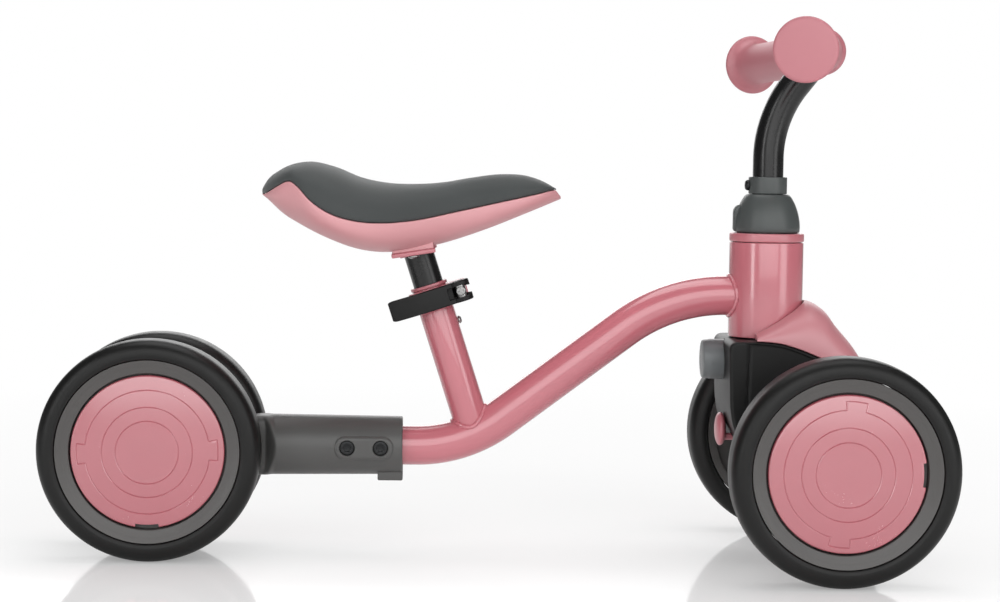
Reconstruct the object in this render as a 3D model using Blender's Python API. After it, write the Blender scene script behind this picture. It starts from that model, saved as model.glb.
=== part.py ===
"""Four-wheeled toddler balance bike, built as an assembly of separate named solids.

Axes: +X is forward, +Y is the rider's left, +Z is up. The origin lies on the ground, half way
between the front and rear axles and on the bike's middle plane. All lengths are in metres.
"""
import math

import bmesh
import bpy
import numpy as np
from mathutils import Vector

MM = 0.001

# ---- general clearances ----
GAP = 0.3 * MM           # between pieces that rest on or are cut by each other
FIT = 0.2 * MM           # radial clearance of a piece that turns, slides or is pushed into a bore

# ---- overall layout ----
WHEELBASE = 425 * MM
WHEEL_RADIUS = 70 * MM
WHEEL_HALF_WIDTH = 15 * MM
REAR_TRACK = 59.3 * MM   # between the middle planes of the two rear wheels
FRONT_TRACK = 206.4 * MM

# ---- wheels ----
TYRE_DEPTH = 12.6 * MM           # from the tread to the rim
RIM_LEDGE = 8.4 * MM             # visible ring of the rim, round the cap's recess
CAP_CLEARANCE = 1.2 * MM         # gap between the cap and its recess
RIM_RADIUS = WHEEL_RADIUS - TYRE_DEPTH
CAP_RECESS_RADIUS = RIM_RADIUS - RIM_LEDGE
CAP_RADIUS = CAP_RECESS_RADIUS - CAP_CLEARANCE
RECESS_DEPTH = 5 * MM            # level of the recess floor, measured from the wheel's middle plane
RIM_EDGE = 1 * MM                # how far the rim's edge lies inside the tyre's side
TYRE_SHOULDER = (3.2 * MM, 2.4 * MM, 8.5 * MM)   # drop at the side, inset there, width of the rounding
CAP_CROWN = 14.6 * MM            # top of the cap's dome
CAP_WALL = 2.2 * MM
HUB_RADIUS = 15 * MM
HUB_OUTER_FACE = 6 * MM  # hub face under the cap, measured from the wheel's middle plane
BUSH_RADIUS = 9 * MM
AXLE_RADIUS = 5 * MM
NUT_ACROSS_FLATS = 13 * MM
NUT_THICKNESS = 4.2 * MM
AXLE_PROUD = 0.3 * MM           # of the nut
WHEEL_SIDES = 28

# ---- main tube ----
TUBE_RADIUS = 12.7 * MM
TUBE_WALL = 1.6 * MM
TUBE_HEIGHT = 70.6 * MM          # of the straight rear end
TUBE_REAR_END = -122 * MM
REAR_BEND_START = -45 * MM
REAR_BEND_RADIUS = 90 * MM
TUBE_SLOPE = math.radians(37)
SLOPE_LENGTH = 97.5 * MM
FRONT_BEND_RADIUS = 110 * MM

# ---- head tube and steering axis ----
STEER_X = 178.5 * MM
HEAD_RADIUS = 23.6 * MM
HEAD_WALL = 2.0 * MM
HEAD_BOTTOM = 143.5 * MM
HEAD_TOP = 204.2 * MM
HEAD_CAP_TOP = 210.0 * MM
HEAD_CAP_SPIGOT = 7 * MM
STEERER_RADIUS = 12.7 * MM
STEERER_WALL = 2.3 * MM
STEERER_BOTTOM = 116 * MM
STEERER_TOP = 233.5 * MM
UPPER_BUSH_RADIUS = 16.4 * MM
LOWER_BUSH_LENGTH = 16 * MM

# ---- rear housing ----
HOUSING_RADIUS = 18.9 * MM
HOUSING_FRONT = -54 * MM
WEB_HALF_WIDTH = 12.2 * MM
ARCH_CLEARANCE = 6 * MM          # from the tread to the wheel arch
AXLE_BOSS_RADIUS = 16 * MM
PAD_LENGTH = 37 * MM
PAD_HEIGHT = 13.4 * MM
PAD_RISE = 0.8 * MM
FOOT_DEPTH = 3.2 * MM
FOOT_LENGTH = 15.8 * MM
SCREW_X = (-89.2 * MM, -68.0 * MM)
SCREW_HEAD_RADIUS = 4.5 * MM
SCREW_RADIUS = 2.5 * MM
SCREW_HEAD_LENGTH = 4.5 * MM
SCREW_SINK = 0.9 * MM            # how far the head lies below the pad

# ---- seat tube, post and clamp; lengths run along the seat tube's axis from its foot ----
SEAT_ANGLE = math.radians(18)
SEAT_FOOT_X = -7.3 * MM
SEAT_FOOT_Z = 78.0 * MM
SEAT_TUBE_RADIUS = 11.3 * MM
SEAT_TUBE_TOP = 99.0 * MM
POST_RADIUS = 9.6 * MM
POST_WALL = 1.6 * MM
BUSH_WALL = 0.5 * MM
BUSH_FLANGE = 2.0 * MM
BUSH_LENGTH = 30 * MM
POST_BOTTOM = 42 * MM
KEYWAY_WIDTH = 4.4 * MM
KEYWAY_DEPTH = 1.0 * MM
GUIDE_SCREW_AT = 73.9 * MM
GUIDE_SCREW_RADIUS = 1.6 * MM
GUIDE_HEAD_RADIUS = 2.6 * MM
CLAMP_AT = 92.0 * MM             # middle of the clamp
CLAMP_HEIGHT = 13.4 * MM
CLAMP_WALL = 2.7 * MM
EAR_THICKNESS = 5.0 * MM
EAR_SLIT = 2.4 * MM
EAR_REACH = 23.0 * MM
BOLT_AT = 18.6 * MM              # forward of the seat tube's axis
BOLT_RADIUS = 2.0 * MM
BARREL_RADIUS = 3.4 * MM
LEVER_OUT = 13.4 * MM            # pivot's distance from the middle plane
LEVER_EYE_RADIUS = 6.6 * MM
LEVER_TAIL = -27.5 * MM
LEVER_THICKNESS = 3.6 * MM
LEVER_WINDOW = 7.8 * MM

# ---- seat ----
BRACKET_BOTTOM = 122.4 * MM
SOCKET_TOP = 137.0 * MM
SOCKET_WALL = 2.6 * MM
PLATE_TILT = math.radians(9)     # of the plate above the horizontal, rising forward
PLATE_X = -48.5 * MM
PLATE_LENGTH = 28 * MM
PLATE_WIDTH = 50 * MM
PLATE_THICKNESS = 2.4 * MM
SEAT_SCREW_OUT = 19 * MM
SEAT_REAR_HALF_WIDTH = 62 * MM
SEAT_NOSE_HALF_WIDTH = 29 * MM
SHELL_WALL = 3.0 * MM
SEAT_COMMON = (-142.0, 41.2)     # millimetres along X where pad and shell lie on each other
SEAT_SECTIONS = 16
PAD_TAIL = -144.4
SHELL_TIP = 45.0
# side outlines as (x, z): the top of the pad, the line between pad and shell, the shell's keel
PAD_TOP = [(-145, 231), (-141.5, 239), (-133, 246.5), (-116, 251.8), (-99, 248.8), (-82, 242.2),
           (-66, 239.1), (-48, 238.5), (-30, 239.8), (-12, 243), (8, 245.5), (24, 244.5), (36, 240.2),
           (41.5, 237)]
PARTING = [(-145, 229), (-142.3, 229.3), (-130, 239.0), (-125, 236.9), (-112, 227.2), (-99, 220),
           (-86, 216.2), (-67, 214.8), (-51, 216), (-19, 222.4), (8, 228.6), (41.5, 236.4), (45.5, 231.6)]
KEEL = [(-145, 228.6), (-142.3, 228.7), (-119, 213.8), (-99, 202.6), (-86, 197.5), (-69.5, 195.0),
        (-60, 195.2), (-35, 199.6), (-5, 209.2), (22, 220.2), (45.5, 230.2)]

# ---- handlebar ----
BELL_BOTTOM = 210.4 * MM
BELL_TOP = 234.7 * MM
BELL_RADIUS = 21.0 * MM
BELL_NECK_RADIUS = 13.6 * MM
RING_RADIUS = 12.3 * MM
RING_TOP = 246.0 * MM
STEM_RADIUS = 9.8 * MM
STEM_BOTTOM = 165 * MM
STEM_BEND_START = 258 * MM
STEM_BEND_RADIUS = 77 * MM
STEM_LEAN = math.radians(38)
BAR_X = 209.5 * MM
BAR_Z = 325.8 * MM
BAR_RADIUS = 9.0 * MM
BAR_STRAIGHT = 13 * MM           # half length of the straight middle
BAR_END_X = 182.0 * MM
BAR_END_Z = 322.3 * MM
BAR_HALF_WIDTH = 105 * MM
GRIP_START = 24 * MM             # from the middle plane, along the bar's half
GRIP_END_WALL = 4 * MM           # of rubber beyond the bar's end
GRIP_RADIUS = 13.4 * MM
GRIP_FLANGE_RADIUS = 15.0 * MM
GRIP_DISC_RADIUS = 19.8 * MM
RING_SCREW_RADIUS = 3.4 * MM

# ---- fork ----
FORK_HALF_WIDTH = 39 * MM
FORK_WALL = 4 * MM
CROWN_RADIUS = 18 * MM
AXLE_HOUSING_RADIUS = 14 * MM
FORK_TOP = [(150.5, 142.6), (172, 142.6), (184, 141.4), (197, 137.4), (213, 130.6), (226, 121.6),
            (235, 110), (240.5, 97), (243, 82)]
FORK_BOTTOM = [(241, 66), (233, 53), (219, 46), (203, 46), (186, 52), (170, 63), (159.5, 76.5),
               (154, 88), (151.8, 100)]
COVER_RIDGE = [(169, 146.6), (181, 154.4), (193, 161.9), (204.5, 166.3), (214, 161.4), (222, 151.4),
               (233.5, 137.7), (243, 121), (249, 102), (251, 84)]
COVER_WALL = 2.0 * MM
COVER_GAP = 1.3 * MM             # round the head tube

# ---- steering lock button and axle latch, both on the back of the fork ----
BUTTON_Z = 128.4 * MM
BUTTON_RADIUS = 12.9 * MM
BUTTON_BACK = 137.5 * MM
BUTTON_LENGTH = 15.2 * MM
BUTTON_TRAVEL = 4 * MM
BUTTON_WALL = 2.0 * MM
SPRING_RADIUS = 6.2 * MM
SPRING_WIRE = 0.8 * MM
LATCH_Z = 83.2 * MM
LATCH_RADIUS = 10.8 * MM
LATCH_THICKNESS = 7.0 * MM
LATCH_BACK = 147.4 * MM
LATCH_PIN_DROP = 5.0 * MM
LATCH_PIN_RADIUS = 2.3 * MM

# ---- colours (linear RGB), roughness and metallic value ----
FINISHES = {
    "pink_paint": ((0.56, 0.21, 0.24), 0.3, 0.0),
    "pink_plastic": ((0.58, 0.23, 0.26), 0.45, 0.0),
    "pink_rubber": ((0.56, 0.22, 0.25), 0.6, 0.0),
    "grey_plastic": ((0.10, 0.10, 0.10), 0.5, 0.0),
    "black_plastic": ((0.010, 0.010, 0.010), 0.45, 0.0),
    "black_paint": ((0.008, 0.008, 0.008), 0.25, 0.0),
    "black_foam": ((0.012, 0.012, 0.011), 0.6, 0.0),
    "grey_foam": ((0.075, 0.082, 0.082), 0.8, 0.0),
    "steel": ((0.55, 0.55, 0.55), 0.3, 1.0),
    "nylon": ((0.65, 0.65, 0.62), 0.5, 0.0),
}


# ---------------------------------------------------------------- tools for making solids

def clear_scene():
    for item in list(bpy.data.objects):
        bpy.data.objects.remove(item, do_unlink=True)


def material(finish):
    """Principled material of one named finish, made once."""
    found = bpy.data.materials.get(finish)
    if found:
        return found
    colour, roughness, metallic = FINISHES[finish]
    made = bpy.data.materials.new(finish)
    made.use_nodes = True
    shader = made.node_tree.nodes["Principled BSDF"]
    shader.inputs["Base Color"].default_value = (*colour, 1)
    shader.inputs["Roughness"].default_value = roughness
    shader.inputs["Metallic"].default_value = metallic
    return made


def place(item, parent=None, at=(0, 0, 0), turn=(0, 0, 0)):
    item.parent = parent
    item.location = at
    item.rotation_euler = turn
    return item


def axis_empty(name, parent=None, at=(0, 0, 0), turn=(0, 0, 0)):
    """An empty on a joint's axis, or at a sub-assembly's reference point."""
    empty = bpy.data.objects.new(name, None)
    bpy.context.collection.objects.link(empty)
    return place(empty, parent, at, turn)


def solid(name, points, faces, finish, parent=None, at=(0, 0, 0), turn=(0, 0, 0), smooth=35):
    """Object from points and faces, with its normals made to point outwards."""
    mesh = bpy.data.meshes.new(name)
    mesh.from_pydata([tuple(p) for p in points], [], faces)
    work = bmesh.new()
    work.from_mesh(mesh)
    bmesh.ops.recalc_face_normals(work, faces=work.faces)
    work.to_mesh(mesh)
    work.free()
    mesh.shade_smooth()
    mesh.set_sharp_from_angle(angle=math.radians(smooth))
    item = bpy.data.objects.new(name, mesh)
    item.data.materials.append(material(finish))
    bpy.context.collection.objects.link(item)
    return place(item, parent, at, turn)


def lathe(name, profile, finish, parent=None, at=(0, 0, 0), turn=(0, 0, 0), sides=24):
    """Closed profile of (radius, height) turned about Z; flats touch the given radii.

    A profile that starts and ends at radius 0 makes a plain body, any other makes a ring.
    """
    stretch = 1 / math.cos(math.pi / sides)
    angles = (np.arange(sides) + 0.5) * 2 * math.pi / sides
    points, rows = [], []
    for radius, height in profile:
        if radius == 0:
            rows.append([len(points)] * sides)
            points.append((0, 0, height))
        else:
            rows.append(list(range(len(points), len(points) + sides)))
            out = radius * stretch
            points += [(out * math.cos(a), out * math.sin(a), height) for a in angles]
    if profile[0][0] != 0:
        rows.append(rows[0])
    faces = []
    for low, high in zip(rows, rows[1:]):
        for k in range(sides):
            ring = [low[k], low[(k + 1) % sides], high[(k + 1) % sides], high[k]]
            face = list(dict.fromkeys(ring))
            if len(face) > 2:
                faces.append(face)
    return solid(name, points, faces, finish, parent, at, turn)


def pipe_profile(outer, inner, low, high):
    return [(inner, low), (outer, low), (outer, high), (inner, high)]


def rod_profile(radius, low, high):
    return [(0, low), (radius, low), (radius, high), (0, high)]


def sweep(name, path, radii, finish, sides=14, parent=None):
    """Round tube or rod along a path; radii holds the outer and, for a tube, the inner radius."""
    path = [Vector(p) for p in path]
    points, faces = [], []
    count = len(path)
    tangents = [(path[min(i + 1, count - 1)] - path[max(i - 1, 0)]).normalized() for i in range(count)]
    side = tangents[0].orthogonal().normalized()
    if abs(side.y) < 0.99 and abs(tangents[0].y) < 0.1:
        side = Vector((0, 1, 0))
    rings = []
    for radius in radii:
        across = side.copy()
        for centre, along in zip(path, tangents):
            across = (across - along * across.dot(along)).normalized()
            up = along.cross(across)
            ring = []
            for k in range(sides):
                angle = (k + 0.5) * 2 * math.pi / sides
                ring.append(len(points))
                points.append(centre + radius * (math.cos(angle) * across + math.sin(angle) * up))
            rings.append(ring)
    order = list(range(count))
    if len(radii) == 2:
        order += [count + i for i in reversed(range(count))] + [0]
    for a, b in zip(order, order[1:]):
        for k in range(sides):
            faces.append([rings[a][k], rings[a][(k + 1) % sides], rings[b][(k + 1) % sides], rings[b][k]])
    if len(radii) == 1:
        faces.append(list(reversed(rings[0])))
        faces.append(rings[-1])
    return solid(name, points, faces, finish, parent)


def extrude(name, outline, low, high, finish, parent=None, at=(0, 0, 0), turn=(0, 0, 0), across="y"):
    """Flat outline carried from low to high: outline (x, z) along Y, or (x, y) along Z."""
    def corner(p, level):
        return (p[0], level, p[1]) if across == "y" else (p[0], p[1], level)
    count = len(outline)
    points = [corner(p, low) for p in outline] + [corner(p, high) for p in outline]
    faces = [list(range(count)), [2 * count - 1 - k for k in range(count)]]
    for k in range(count):
        other = (k + 1) % count
        faces.append([k, other, count + other, count + k])
    return solid(name, points, faces, finish, parent, at, turn)


def block(name, low, high, finish, parent=None, at=(0, 0, 0), turn=(0, 0, 0)):
    outline = [(low[0], low[2]), (high[0], low[2]), (high[0], high[2]), (low[0], high[2])]
    return extrude(name, outline, low[1], high[1], finish, parent, at, turn)


def arc(centre, radius, start, end, steps):
    """Points of an arc in a plane, both ends included."""
    angles = [start + (end - start) * k / steps for k in range(steps + 1)]
    return [(centre[0] + radius * math.cos(a), centre[1] + radius * math.sin(a)) for a in angles]


def guide(item):
    """Marks an object that only shapes another one."""
    item.hide_render = True
    item.display_type = "WIRE"
    return item


def combine(target, tool, operation):
    guide(tool)
    step = target.modifiers.new(tool.name, "BOOLEAN")
    step.operation = operation
    step.object = tool
    step.solver = "EXACT"
    return target


def cut(target, tool):
    return combine(target, tool, "DIFFERENCE")


def weld(target, tool):
    return combine(target, tool, "UNION")


def curve_value(knots, x):
    """Smooth height at x along an outline of (x, z) knots given in millimetres."""
    xs = np.array([k[0] for k in knots], dtype=float)
    zs = np.array([k[1] for k in knots], dtype=float)
    slopes = np.gradient(zs, xs)
    k = int(np.clip(np.searchsorted(xs, x) - 1, 0, len(xs) - 2))
    width = xs[k + 1] - xs[k]
    t = float(np.clip((x - xs[k]) / width, 0, 1))
    start = (1 + 2 * t) * (1 - t) ** 2 * zs[k] + t * (1 - t) ** 2 * width * slopes[k]
    end = t * t * (3 - 2 * t) * zs[k + 1] + t * t * (t - 1) * width * slopes[k + 1]
    return start + end


# ---------------------------------------------------------------- frame tubes

def main_tube_path():
    """Centre line of the main tube: straight, bend up, slope, bend level, into the head tube."""
    bend = arc((REAR_BEND_START, TUBE_HEIGHT + REAR_BEND_RADIUS), REAR_BEND_RADIUS,
               -math.pi / 2, -math.pi / 2 + TUBE_SLOPE, 6)
    foot = bend[-1]
    top = (foot[0] + SLOPE_LENGTH * math.cos(TUBE_SLOPE), foot[1] + SLOPE_LENGTH * math.sin(TUBE_SLOPE))
    centre = (top[0] + FRONT_BEND_RADIUS * math.sin(TUBE_SLOPE),
              top[1] - FRONT_BEND_RADIUS * math.cos(TUBE_SLOPE))
    crest = arc(centre, FRONT_BEND_RADIUS, math.pi / 2 + TUBE_SLOPE, math.pi / 2, 6)
    flat = [(TUBE_REAR_END, TUBE_HEIGHT)] + bend + crest
    if crest[-1][0] < STEER_X - 1 * MM:
        flat.append((STEER_X, crest[-1][1]))
    return [(x, 0, z) for x, z in flat]


def main_tube():
    """Bent steel tube from the rear housing to the head tube, holed for the two rear screws."""
    tube = sweep("main_tube", main_tube_path(), (TUBE_RADIUS, TUBE_RADIUS - TUBE_WALL), "pink_paint", 16)
    mouth = lathe("head_tube_notch", rod_profile(HEAD_RADIUS + GAP, HEAD_BOTTOM - 10 * MM, HEAD_TOP),
                  "steel", at=(STEER_X, 0, 0), sides=24)
    cut(tube, mouth)
    for number, x in enumerate(SCREW_X, 1):
        hole = lathe(f"tube_screw_hole_{number}", rod_profile(SCREW_RADIUS + GAP, -30 * MM, 30 * MM),
                     "steel", at=(x, 0, TUBE_HEIGHT), turn=(math.pi / 2, 0, 0), sides=10)
        cut(tube, hole)
    return tube


def seat_tube(seat):
    """Seat tube, mitred over the main tube and slit at the top so that the clamp can close it."""
    inner = POST_RADIUS + BUSH_WALL + 2 * FIT
    tube = lathe("seat_tube", pipe_profile(SEAT_TUBE_RADIUS, inner, 0, SEAT_TUBE_TOP), "pink_paint", seat)
    saddle = sweep("main_tube_saddle", main_tube_path(), (TUBE_RADIUS + GAP,), "steel", 16)
    cut(tube, saddle)
    slit = block("seat_tube_slit", (0, -1 * MM, SEAT_TUBE_TOP - 22 * MM),
                 (2 * SEAT_TUBE_RADIUS, 1 * MM, SEAT_TUBE_TOP + 5 * MM), "steel", seat)
    cut(tube, slit)
    hole = lathe("guide_screw_hole", rod_profile(GUIDE_SCREW_RADIUS + FIT, 0, 2 * SEAT_TUBE_RADIUS), "steel",
                 seat, (0, 0, GUIDE_SCREW_AT), (0, math.pi / 2, 0), 8)
    cut(tube, hole)
    return tube


def post_bush(seat):
    """Flanged plastic bush between seat tube and post."""
    inner = POST_RADIUS + FIT
    outer = inner + BUSH_WALL
    low = SEAT_TUBE_TOP - BUSH_LENGTH
    seat_level = SEAT_TUBE_TOP + GAP
    profile = [(inner, low), (outer, low), (outer, seat_level), (SEAT_TUBE_RADIUS + 0.6 * MM, seat_level),
               (SEAT_TUBE_RADIUS + 0.6 * MM, seat_level + BUSH_FLANGE), (inner, seat_level + BUSH_FLANGE)]
    bush = lathe("post_bush", profile, "pink_plastic", seat)
    hole = lathe("bush_guide_hole", rod_profile(GUIDE_SCREW_RADIUS + FIT, 0, 2 * SEAT_TUBE_RADIUS), "steel",
                 seat, (0, 0, GUIDE_SCREW_AT), (0, math.pi / 2, 0), 8)
    return cut(bush, hole)


def guide_screw(seat):
    """Small screw in the front of the seat tube whose tip runs in the post's keyway."""
    tip = POST_RADIUS - KEYWAY_DEPTH + FIT
    seat_face = SEAT_TUBE_RADIUS + GAP
    profile = [(0, tip), (GUIDE_SCREW_RADIUS, tip), (GUIDE_SCREW_RADIUS, seat_face),
               (GUIDE_HEAD_RADIUS, seat_face), (GUIDE_HEAD_RADIUS, seat_face + 1.6 * MM),
               (0, seat_face + 2.2 * MM)]
    return lathe("guide_screw", profile, "steel", seat, (0, 0, GUIDE_SCREW_AT), (0, math.pi / 2, 0), 8)


def head_tube():
    profile = pipe_profile(HEAD_RADIUS, HEAD_RADIUS - HEAD_WALL, HEAD_BOTTOM, HEAD_TOP)
    lathe("head_tube", profile, "pink_paint", at=(STEER_X, 0, 0), sides=28)


def head_bearings():
    """Pressed top cap and the two plain bushes that the steerer turns in."""
    bore = HEAD_RADIUS - HEAD_WALL - FIT
    cap_bore = UPPER_BUSH_RADIUS + FIT
    seat_level = HEAD_TOP + GAP
    cap = [(cap_bore, HEAD_TOP - HEAD_CAP_SPIGOT), (bore, HEAD_TOP - HEAD_CAP_SPIGOT), (bore, seat_level),
           (HEAD_RADIUS, seat_level), (HEAD_RADIUS, HEAD_CAP_TOP - 0.8 * MM),
           (HEAD_RADIUS - 0.8 * MM, HEAD_CAP_TOP), (cap_bore, HEAD_CAP_TOP)]
    lathe("head_tube_cap", cap, "pink_plastic", at=(STEER_X, 0, 0), sides=28)
    running = STEERER_RADIUS + FIT
    upper = pipe_profile(UPPER_BUSH_RADIUS, running, HEAD_TOP - HEAD_CAP_SPIGOT, HEAD_CAP_TOP)
    lathe("upper_bush", upper, "nylon", at=(STEER_X, 0, 0), sides=28)
    lower = pipe_profile(bore, running, HEAD_BOTTOM + GAP, HEAD_BOTTOM + LOWER_BUSH_LENGTH)
    lathe("lower_bush", lower, "nylon", at=(STEER_X, 0, 0), sides=28)


# ---------------------------------------------------------------- rear housing and rear axle

def rear_housing(rear_axle_x):
    """Moulded housing that takes the main tube, narrows between the wheels and carries the axle."""
    shell = lathe("rear_housing", rod_profile(HOUSING_RADIUS, rear_axle_x + 60 * MM, HOUSING_FRONT),
                  "grey_plastic", at=(0, 0, TUBE_HEIGHT), turn=(0, math.pi / 2, 0), sides=24)
    top = TUBE_HEIGHT + HOUSING_RADIUS - 0.5 * MM
    bottom = TUBE_HEIGHT - HOUSING_RADIUS + 0.5 * MM
    nose = rear_axle_x + WHEEL_RADIUS + 22 * MM
    outline = arc((rear_axle_x, WHEEL_RADIUS), AXLE_BOSS_RADIUS, math.radians(80), math.radians(280), 8)
    outline += [(nose, bottom), (nose, top)]
    web = extrude("rear_web", outline, -WEB_HALF_WIDTH, WEB_HALF_WIDTH, "grey_plastic")
    face = REAR_TRACK / 2 - WHEEL_HALF_WIDTH - GAP
    boss = lathe("rear_axle_boss", rod_profile(HUB_RADIUS - 1 * MM, -face, face), "grey_plastic",
                 at=(rear_axle_x, 0, WHEEL_RADIUS), turn=(math.pi / 2, 0, 0), sides=16)
    for side in (-1, 1):
        swept = rod_profile(WHEEL_RADIUS + ARCH_CLEARANCE, WEB_HALF_WIDTH, WEB_HALF_WIDTH + 40 * MM)
        arch = lathe(f"wheel_arch_{'left' if side > 0 else 'right'}", swept, "steel",
                     at=(rear_axle_x, 0, WHEEL_RADIUS), turn=(-side * math.pi / 2, 0, 0), sides=40)
        cut(shell, arch)
        weld(shell, screw_pad(side))
    weld(shell, web)
    weld(shell, boss)
    underside = TUBE_HEIGHT - HOUSING_RADIUS
    foot = block("housing_foot", (HOUSING_FRONT - FOOT_LENGTH, -8 * MM, underside - FOOT_DEPTH),
                 (HOUSING_FRONT, 8 * MM, underside + 4 * MM), "grey_plastic")
    weld(shell, foot)
    socket = lathe("tube_socket", rod_profile(TUBE_RADIUS + GAP, TUBE_REAR_END - GAP, HOUSING_FRONT + 5 * MM),
                   "steel", at=(0, 0, TUBE_HEIGHT), turn=(0, math.pi / 2, 0), sides=16)
    cut(shell, socket)
    bore = lathe("rear_axle_bore", rod_profile(AXLE_RADIUS + FIT, -40 * MM, 40 * MM), "steel",
                 at=(rear_axle_x, 0, WHEEL_RADIUS), turn=(math.pi / 2, 0, 0), sides=12)
    cut(shell, bore)
    for number, x in enumerate(SCREW_X, 1):
        cut(shell, stepped_hole(number, x))
    return shell


def pad_face():
    """Distance of the screw pads' outer faces from the middle plane."""
    return HOUSING_RADIUS + PAD_RISE


def screw_pad(side):
    """Raised long pad with round ends on one side of the housing."""
    middle = sum(SCREW_X) / 2
    half = PAD_LENGTH / 2 - PAD_HEIGHT / 2
    ends = arc((middle + half, TUBE_HEIGHT), PAD_HEIGHT / 2, -math.pi / 2, math.pi / 2, 6)
    ends += arc((middle - half, TUBE_HEIGHT), PAD_HEIGHT / 2, math.pi / 2, 3 * math.pi / 2, 6)
    inner, outer = side * (HOUSING_RADIUS - 4 * MM), side * pad_face()
    name = f"screw_pad_{'left' if side > 0 else 'right'}"
    return extrude(name, ends, min(inner, outer), max(inner, outer), "grey_plastic")


def head_seat():
    """Distance of the screw heads' seats from the middle plane."""
    return pad_face() - SCREW_SINK - SCREW_HEAD_LENGTH


def stepped_hole(number, x):
    """Through hole with a counterbore for the head on the right and for the nut on the left."""
    wide = SCREW_HEAD_RADIUS + 0.5 * MM
    narrow = SCREW_RADIUS + GAP
    reach, step = 30 * MM, head_seat() - GAP
    profile = [(0, -reach), (wide, -reach), (wide, -step), (narrow, -step), (narrow, step), (wide, step),
               (wide, reach), (0, reach)]
    return lathe(f"screw_hole_{number}", profile, "steel", at=(x, 0, TUBE_HEIGHT),
                 turn=(math.pi / 2, 0, 0), sides=14)


def housing_screws():
    """Two through screws with socket heads on the right and round nuts on the left."""
    seat = head_seat()
    for number, x in enumerate(SCREW_X, 1):
        socket = 1.9 * MM
        head = [(0, -seat), (SCREW_RADIUS, -seat), (SCREW_RADIUS, seat), (SCREW_HEAD_RADIUS, seat),
                (SCREW_HEAD_RADIUS, seat + SCREW_HEAD_LENGTH), (socket, seat + SCREW_HEAD_LENGTH),
                (socket, seat + SCREW_HEAD_LENGTH / 2), (0, seat + SCREW_HEAD_LENGTH / 2)]
        lathe(f"housing_screw_{number}", head, "black_paint", at=(x, 0, TUBE_HEIGHT),
              turn=(math.pi / 2, 0, 0), sides=12)
        nut = pipe_profile(SCREW_HEAD_RADIUS, SCREW_RADIUS + FIT, seat, seat + SCREW_HEAD_LENGTH)
        lathe(f"housing_nut_{number}", nut, "black_paint", at=(x, 0, TUBE_HEIGHT),
              turn=(-math.pi / 2, 0, 0), sides=12)


def axle(name, x, track, parent=None):
    """Plain steel axle with a nut at each end."""
    half = track / 2 + HUB_OUTER_FACE + GAP + NUT_THICKNESS + AXLE_PROUD
    profile = [(0, -half), (AXLE_RADIUS - 0.6 * MM, -half), (AXLE_RADIUS, -half + 0.6 * MM),
               (AXLE_RADIUS, half - 0.6 * MM), (AXLE_RADIUS - 0.6 * MM, half), (0, half)]
    lathe(name, profile, "steel", parent, (x, 0, WHEEL_RADIUS), (math.pi / 2, 0, 0), 16)
    start = track / 2 + HUB_OUTER_FACE + GAP
    profile = pipe_profile(NUT_ACROSS_FLATS / 2, AXLE_RADIUS + FIT, start, start + NUT_THICKNESS)
    for label, turn in (("left", -math.pi / 2), ("right", math.pi / 2)):
        nut = lathe(f"{name}_nut_{label}", profile, "steel", parent, (x, 0, WHEEL_RADIUS), (turn, 0, 0), 16)
        trim = hexagon(f"{name}_hexagon_{label}", start - 5 * MM, start + NUT_THICKNESS + 5 * MM,
                       parent, x, turn)
        combine(nut, trim, "INTERSECT")


def hexagon(name, low, high, parent, x, turn):
    outline = arc((0, 0), NUT_ACROSS_FLATS / 2 / math.cos(math.pi / 6), 0, 2 * math.pi * 5 / 6, 5)
    return extrude(name, outline, low, high, "steel", parent, (x, 0, WHEEL_RADIUS), (turn, 0, 0), across="z")


# ---------------------------------------------------------------- wheels

def wheel(name, parent, x, y):
    """One wheel on its own axis: foam tyre, moulded rim, snapped-in cap and plain bush."""
    outward = math.pi / 2 if y < 0 else -math.pi / 2
    spin = axis_empty(f"{name}_wheel_axis", parent, (x, y, WHEEL_RADIUS), (outward, 0, 0))
    half = WHEEL_HALF_WIDTH
    bead = RIM_RADIUS + GAP
    drop, inset, rounding = TYRE_SHOULDER
    side = [(bead, half - 1 * MM), (bead + 2 * MM, half), (WHEEL_RADIUS - drop, half - inset),
            (WHEEL_RADIUS, half - rounding)]
    tyre = [(bead, -half + 1 * MM)] + side + [(radius, -height) for radius, height in reversed(side[1:])]
    lathe(f"tyre_{name}", tyre, "black_foam", spin, sides=WHEEL_SIDES)
    rim_edge = half - RIM_EDGE
    recess = RECESS_DEPTH
    bore = BUSH_RADIUS + FIT
    rim = [(bore, -half), (HUB_RADIUS, -half), (HUB_RADIUS, -1 * MM), (CAP_RECESS_RADIUS, -1 * MM),
           (RIM_RADIUS, -rim_edge), (RIM_RADIUS, rim_edge), (CAP_RECESS_RADIUS, rim_edge - 3 * MM),
           (CAP_RECESS_RADIUS, recess), (HUB_RADIUS, recess), (HUB_RADIUS, HUB_OUTER_FACE),
           (bore, HUB_OUTER_FACE)]
    lathe(f"rim_{name}", rim, "grey_plastic", spin, sides=WHEEL_SIDES)
    edge = rim_edge - 2.4 * MM
    crown = CAP_CROWN
    skirt = CAP_RADIUS - CAP_WALL
    cap = [(0, crown), (CAP_RADIUS * 0.6, crown - 0.9 * MM), (CAP_RADIUS, edge), (CAP_RADIUS, recess + GAP),
           (skirt, recess + GAP), (skirt, edge - CAP_WALL), (0, crown - CAP_WALL)]
    lathe(f"hubcap_{name}", cap, "pink_plastic", spin, sides=WHEEL_SIDES)
    bush = pipe_profile(BUSH_RADIUS, AXLE_RADIUS + FIT, -half, HUB_OUTER_FACE)
    lathe(f"bush_{name}", bush, "nylon", spin, sides=WHEEL_SIDES)
    return spin


# ---------------------------------------------------------------- seat post, clamp and seat

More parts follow.
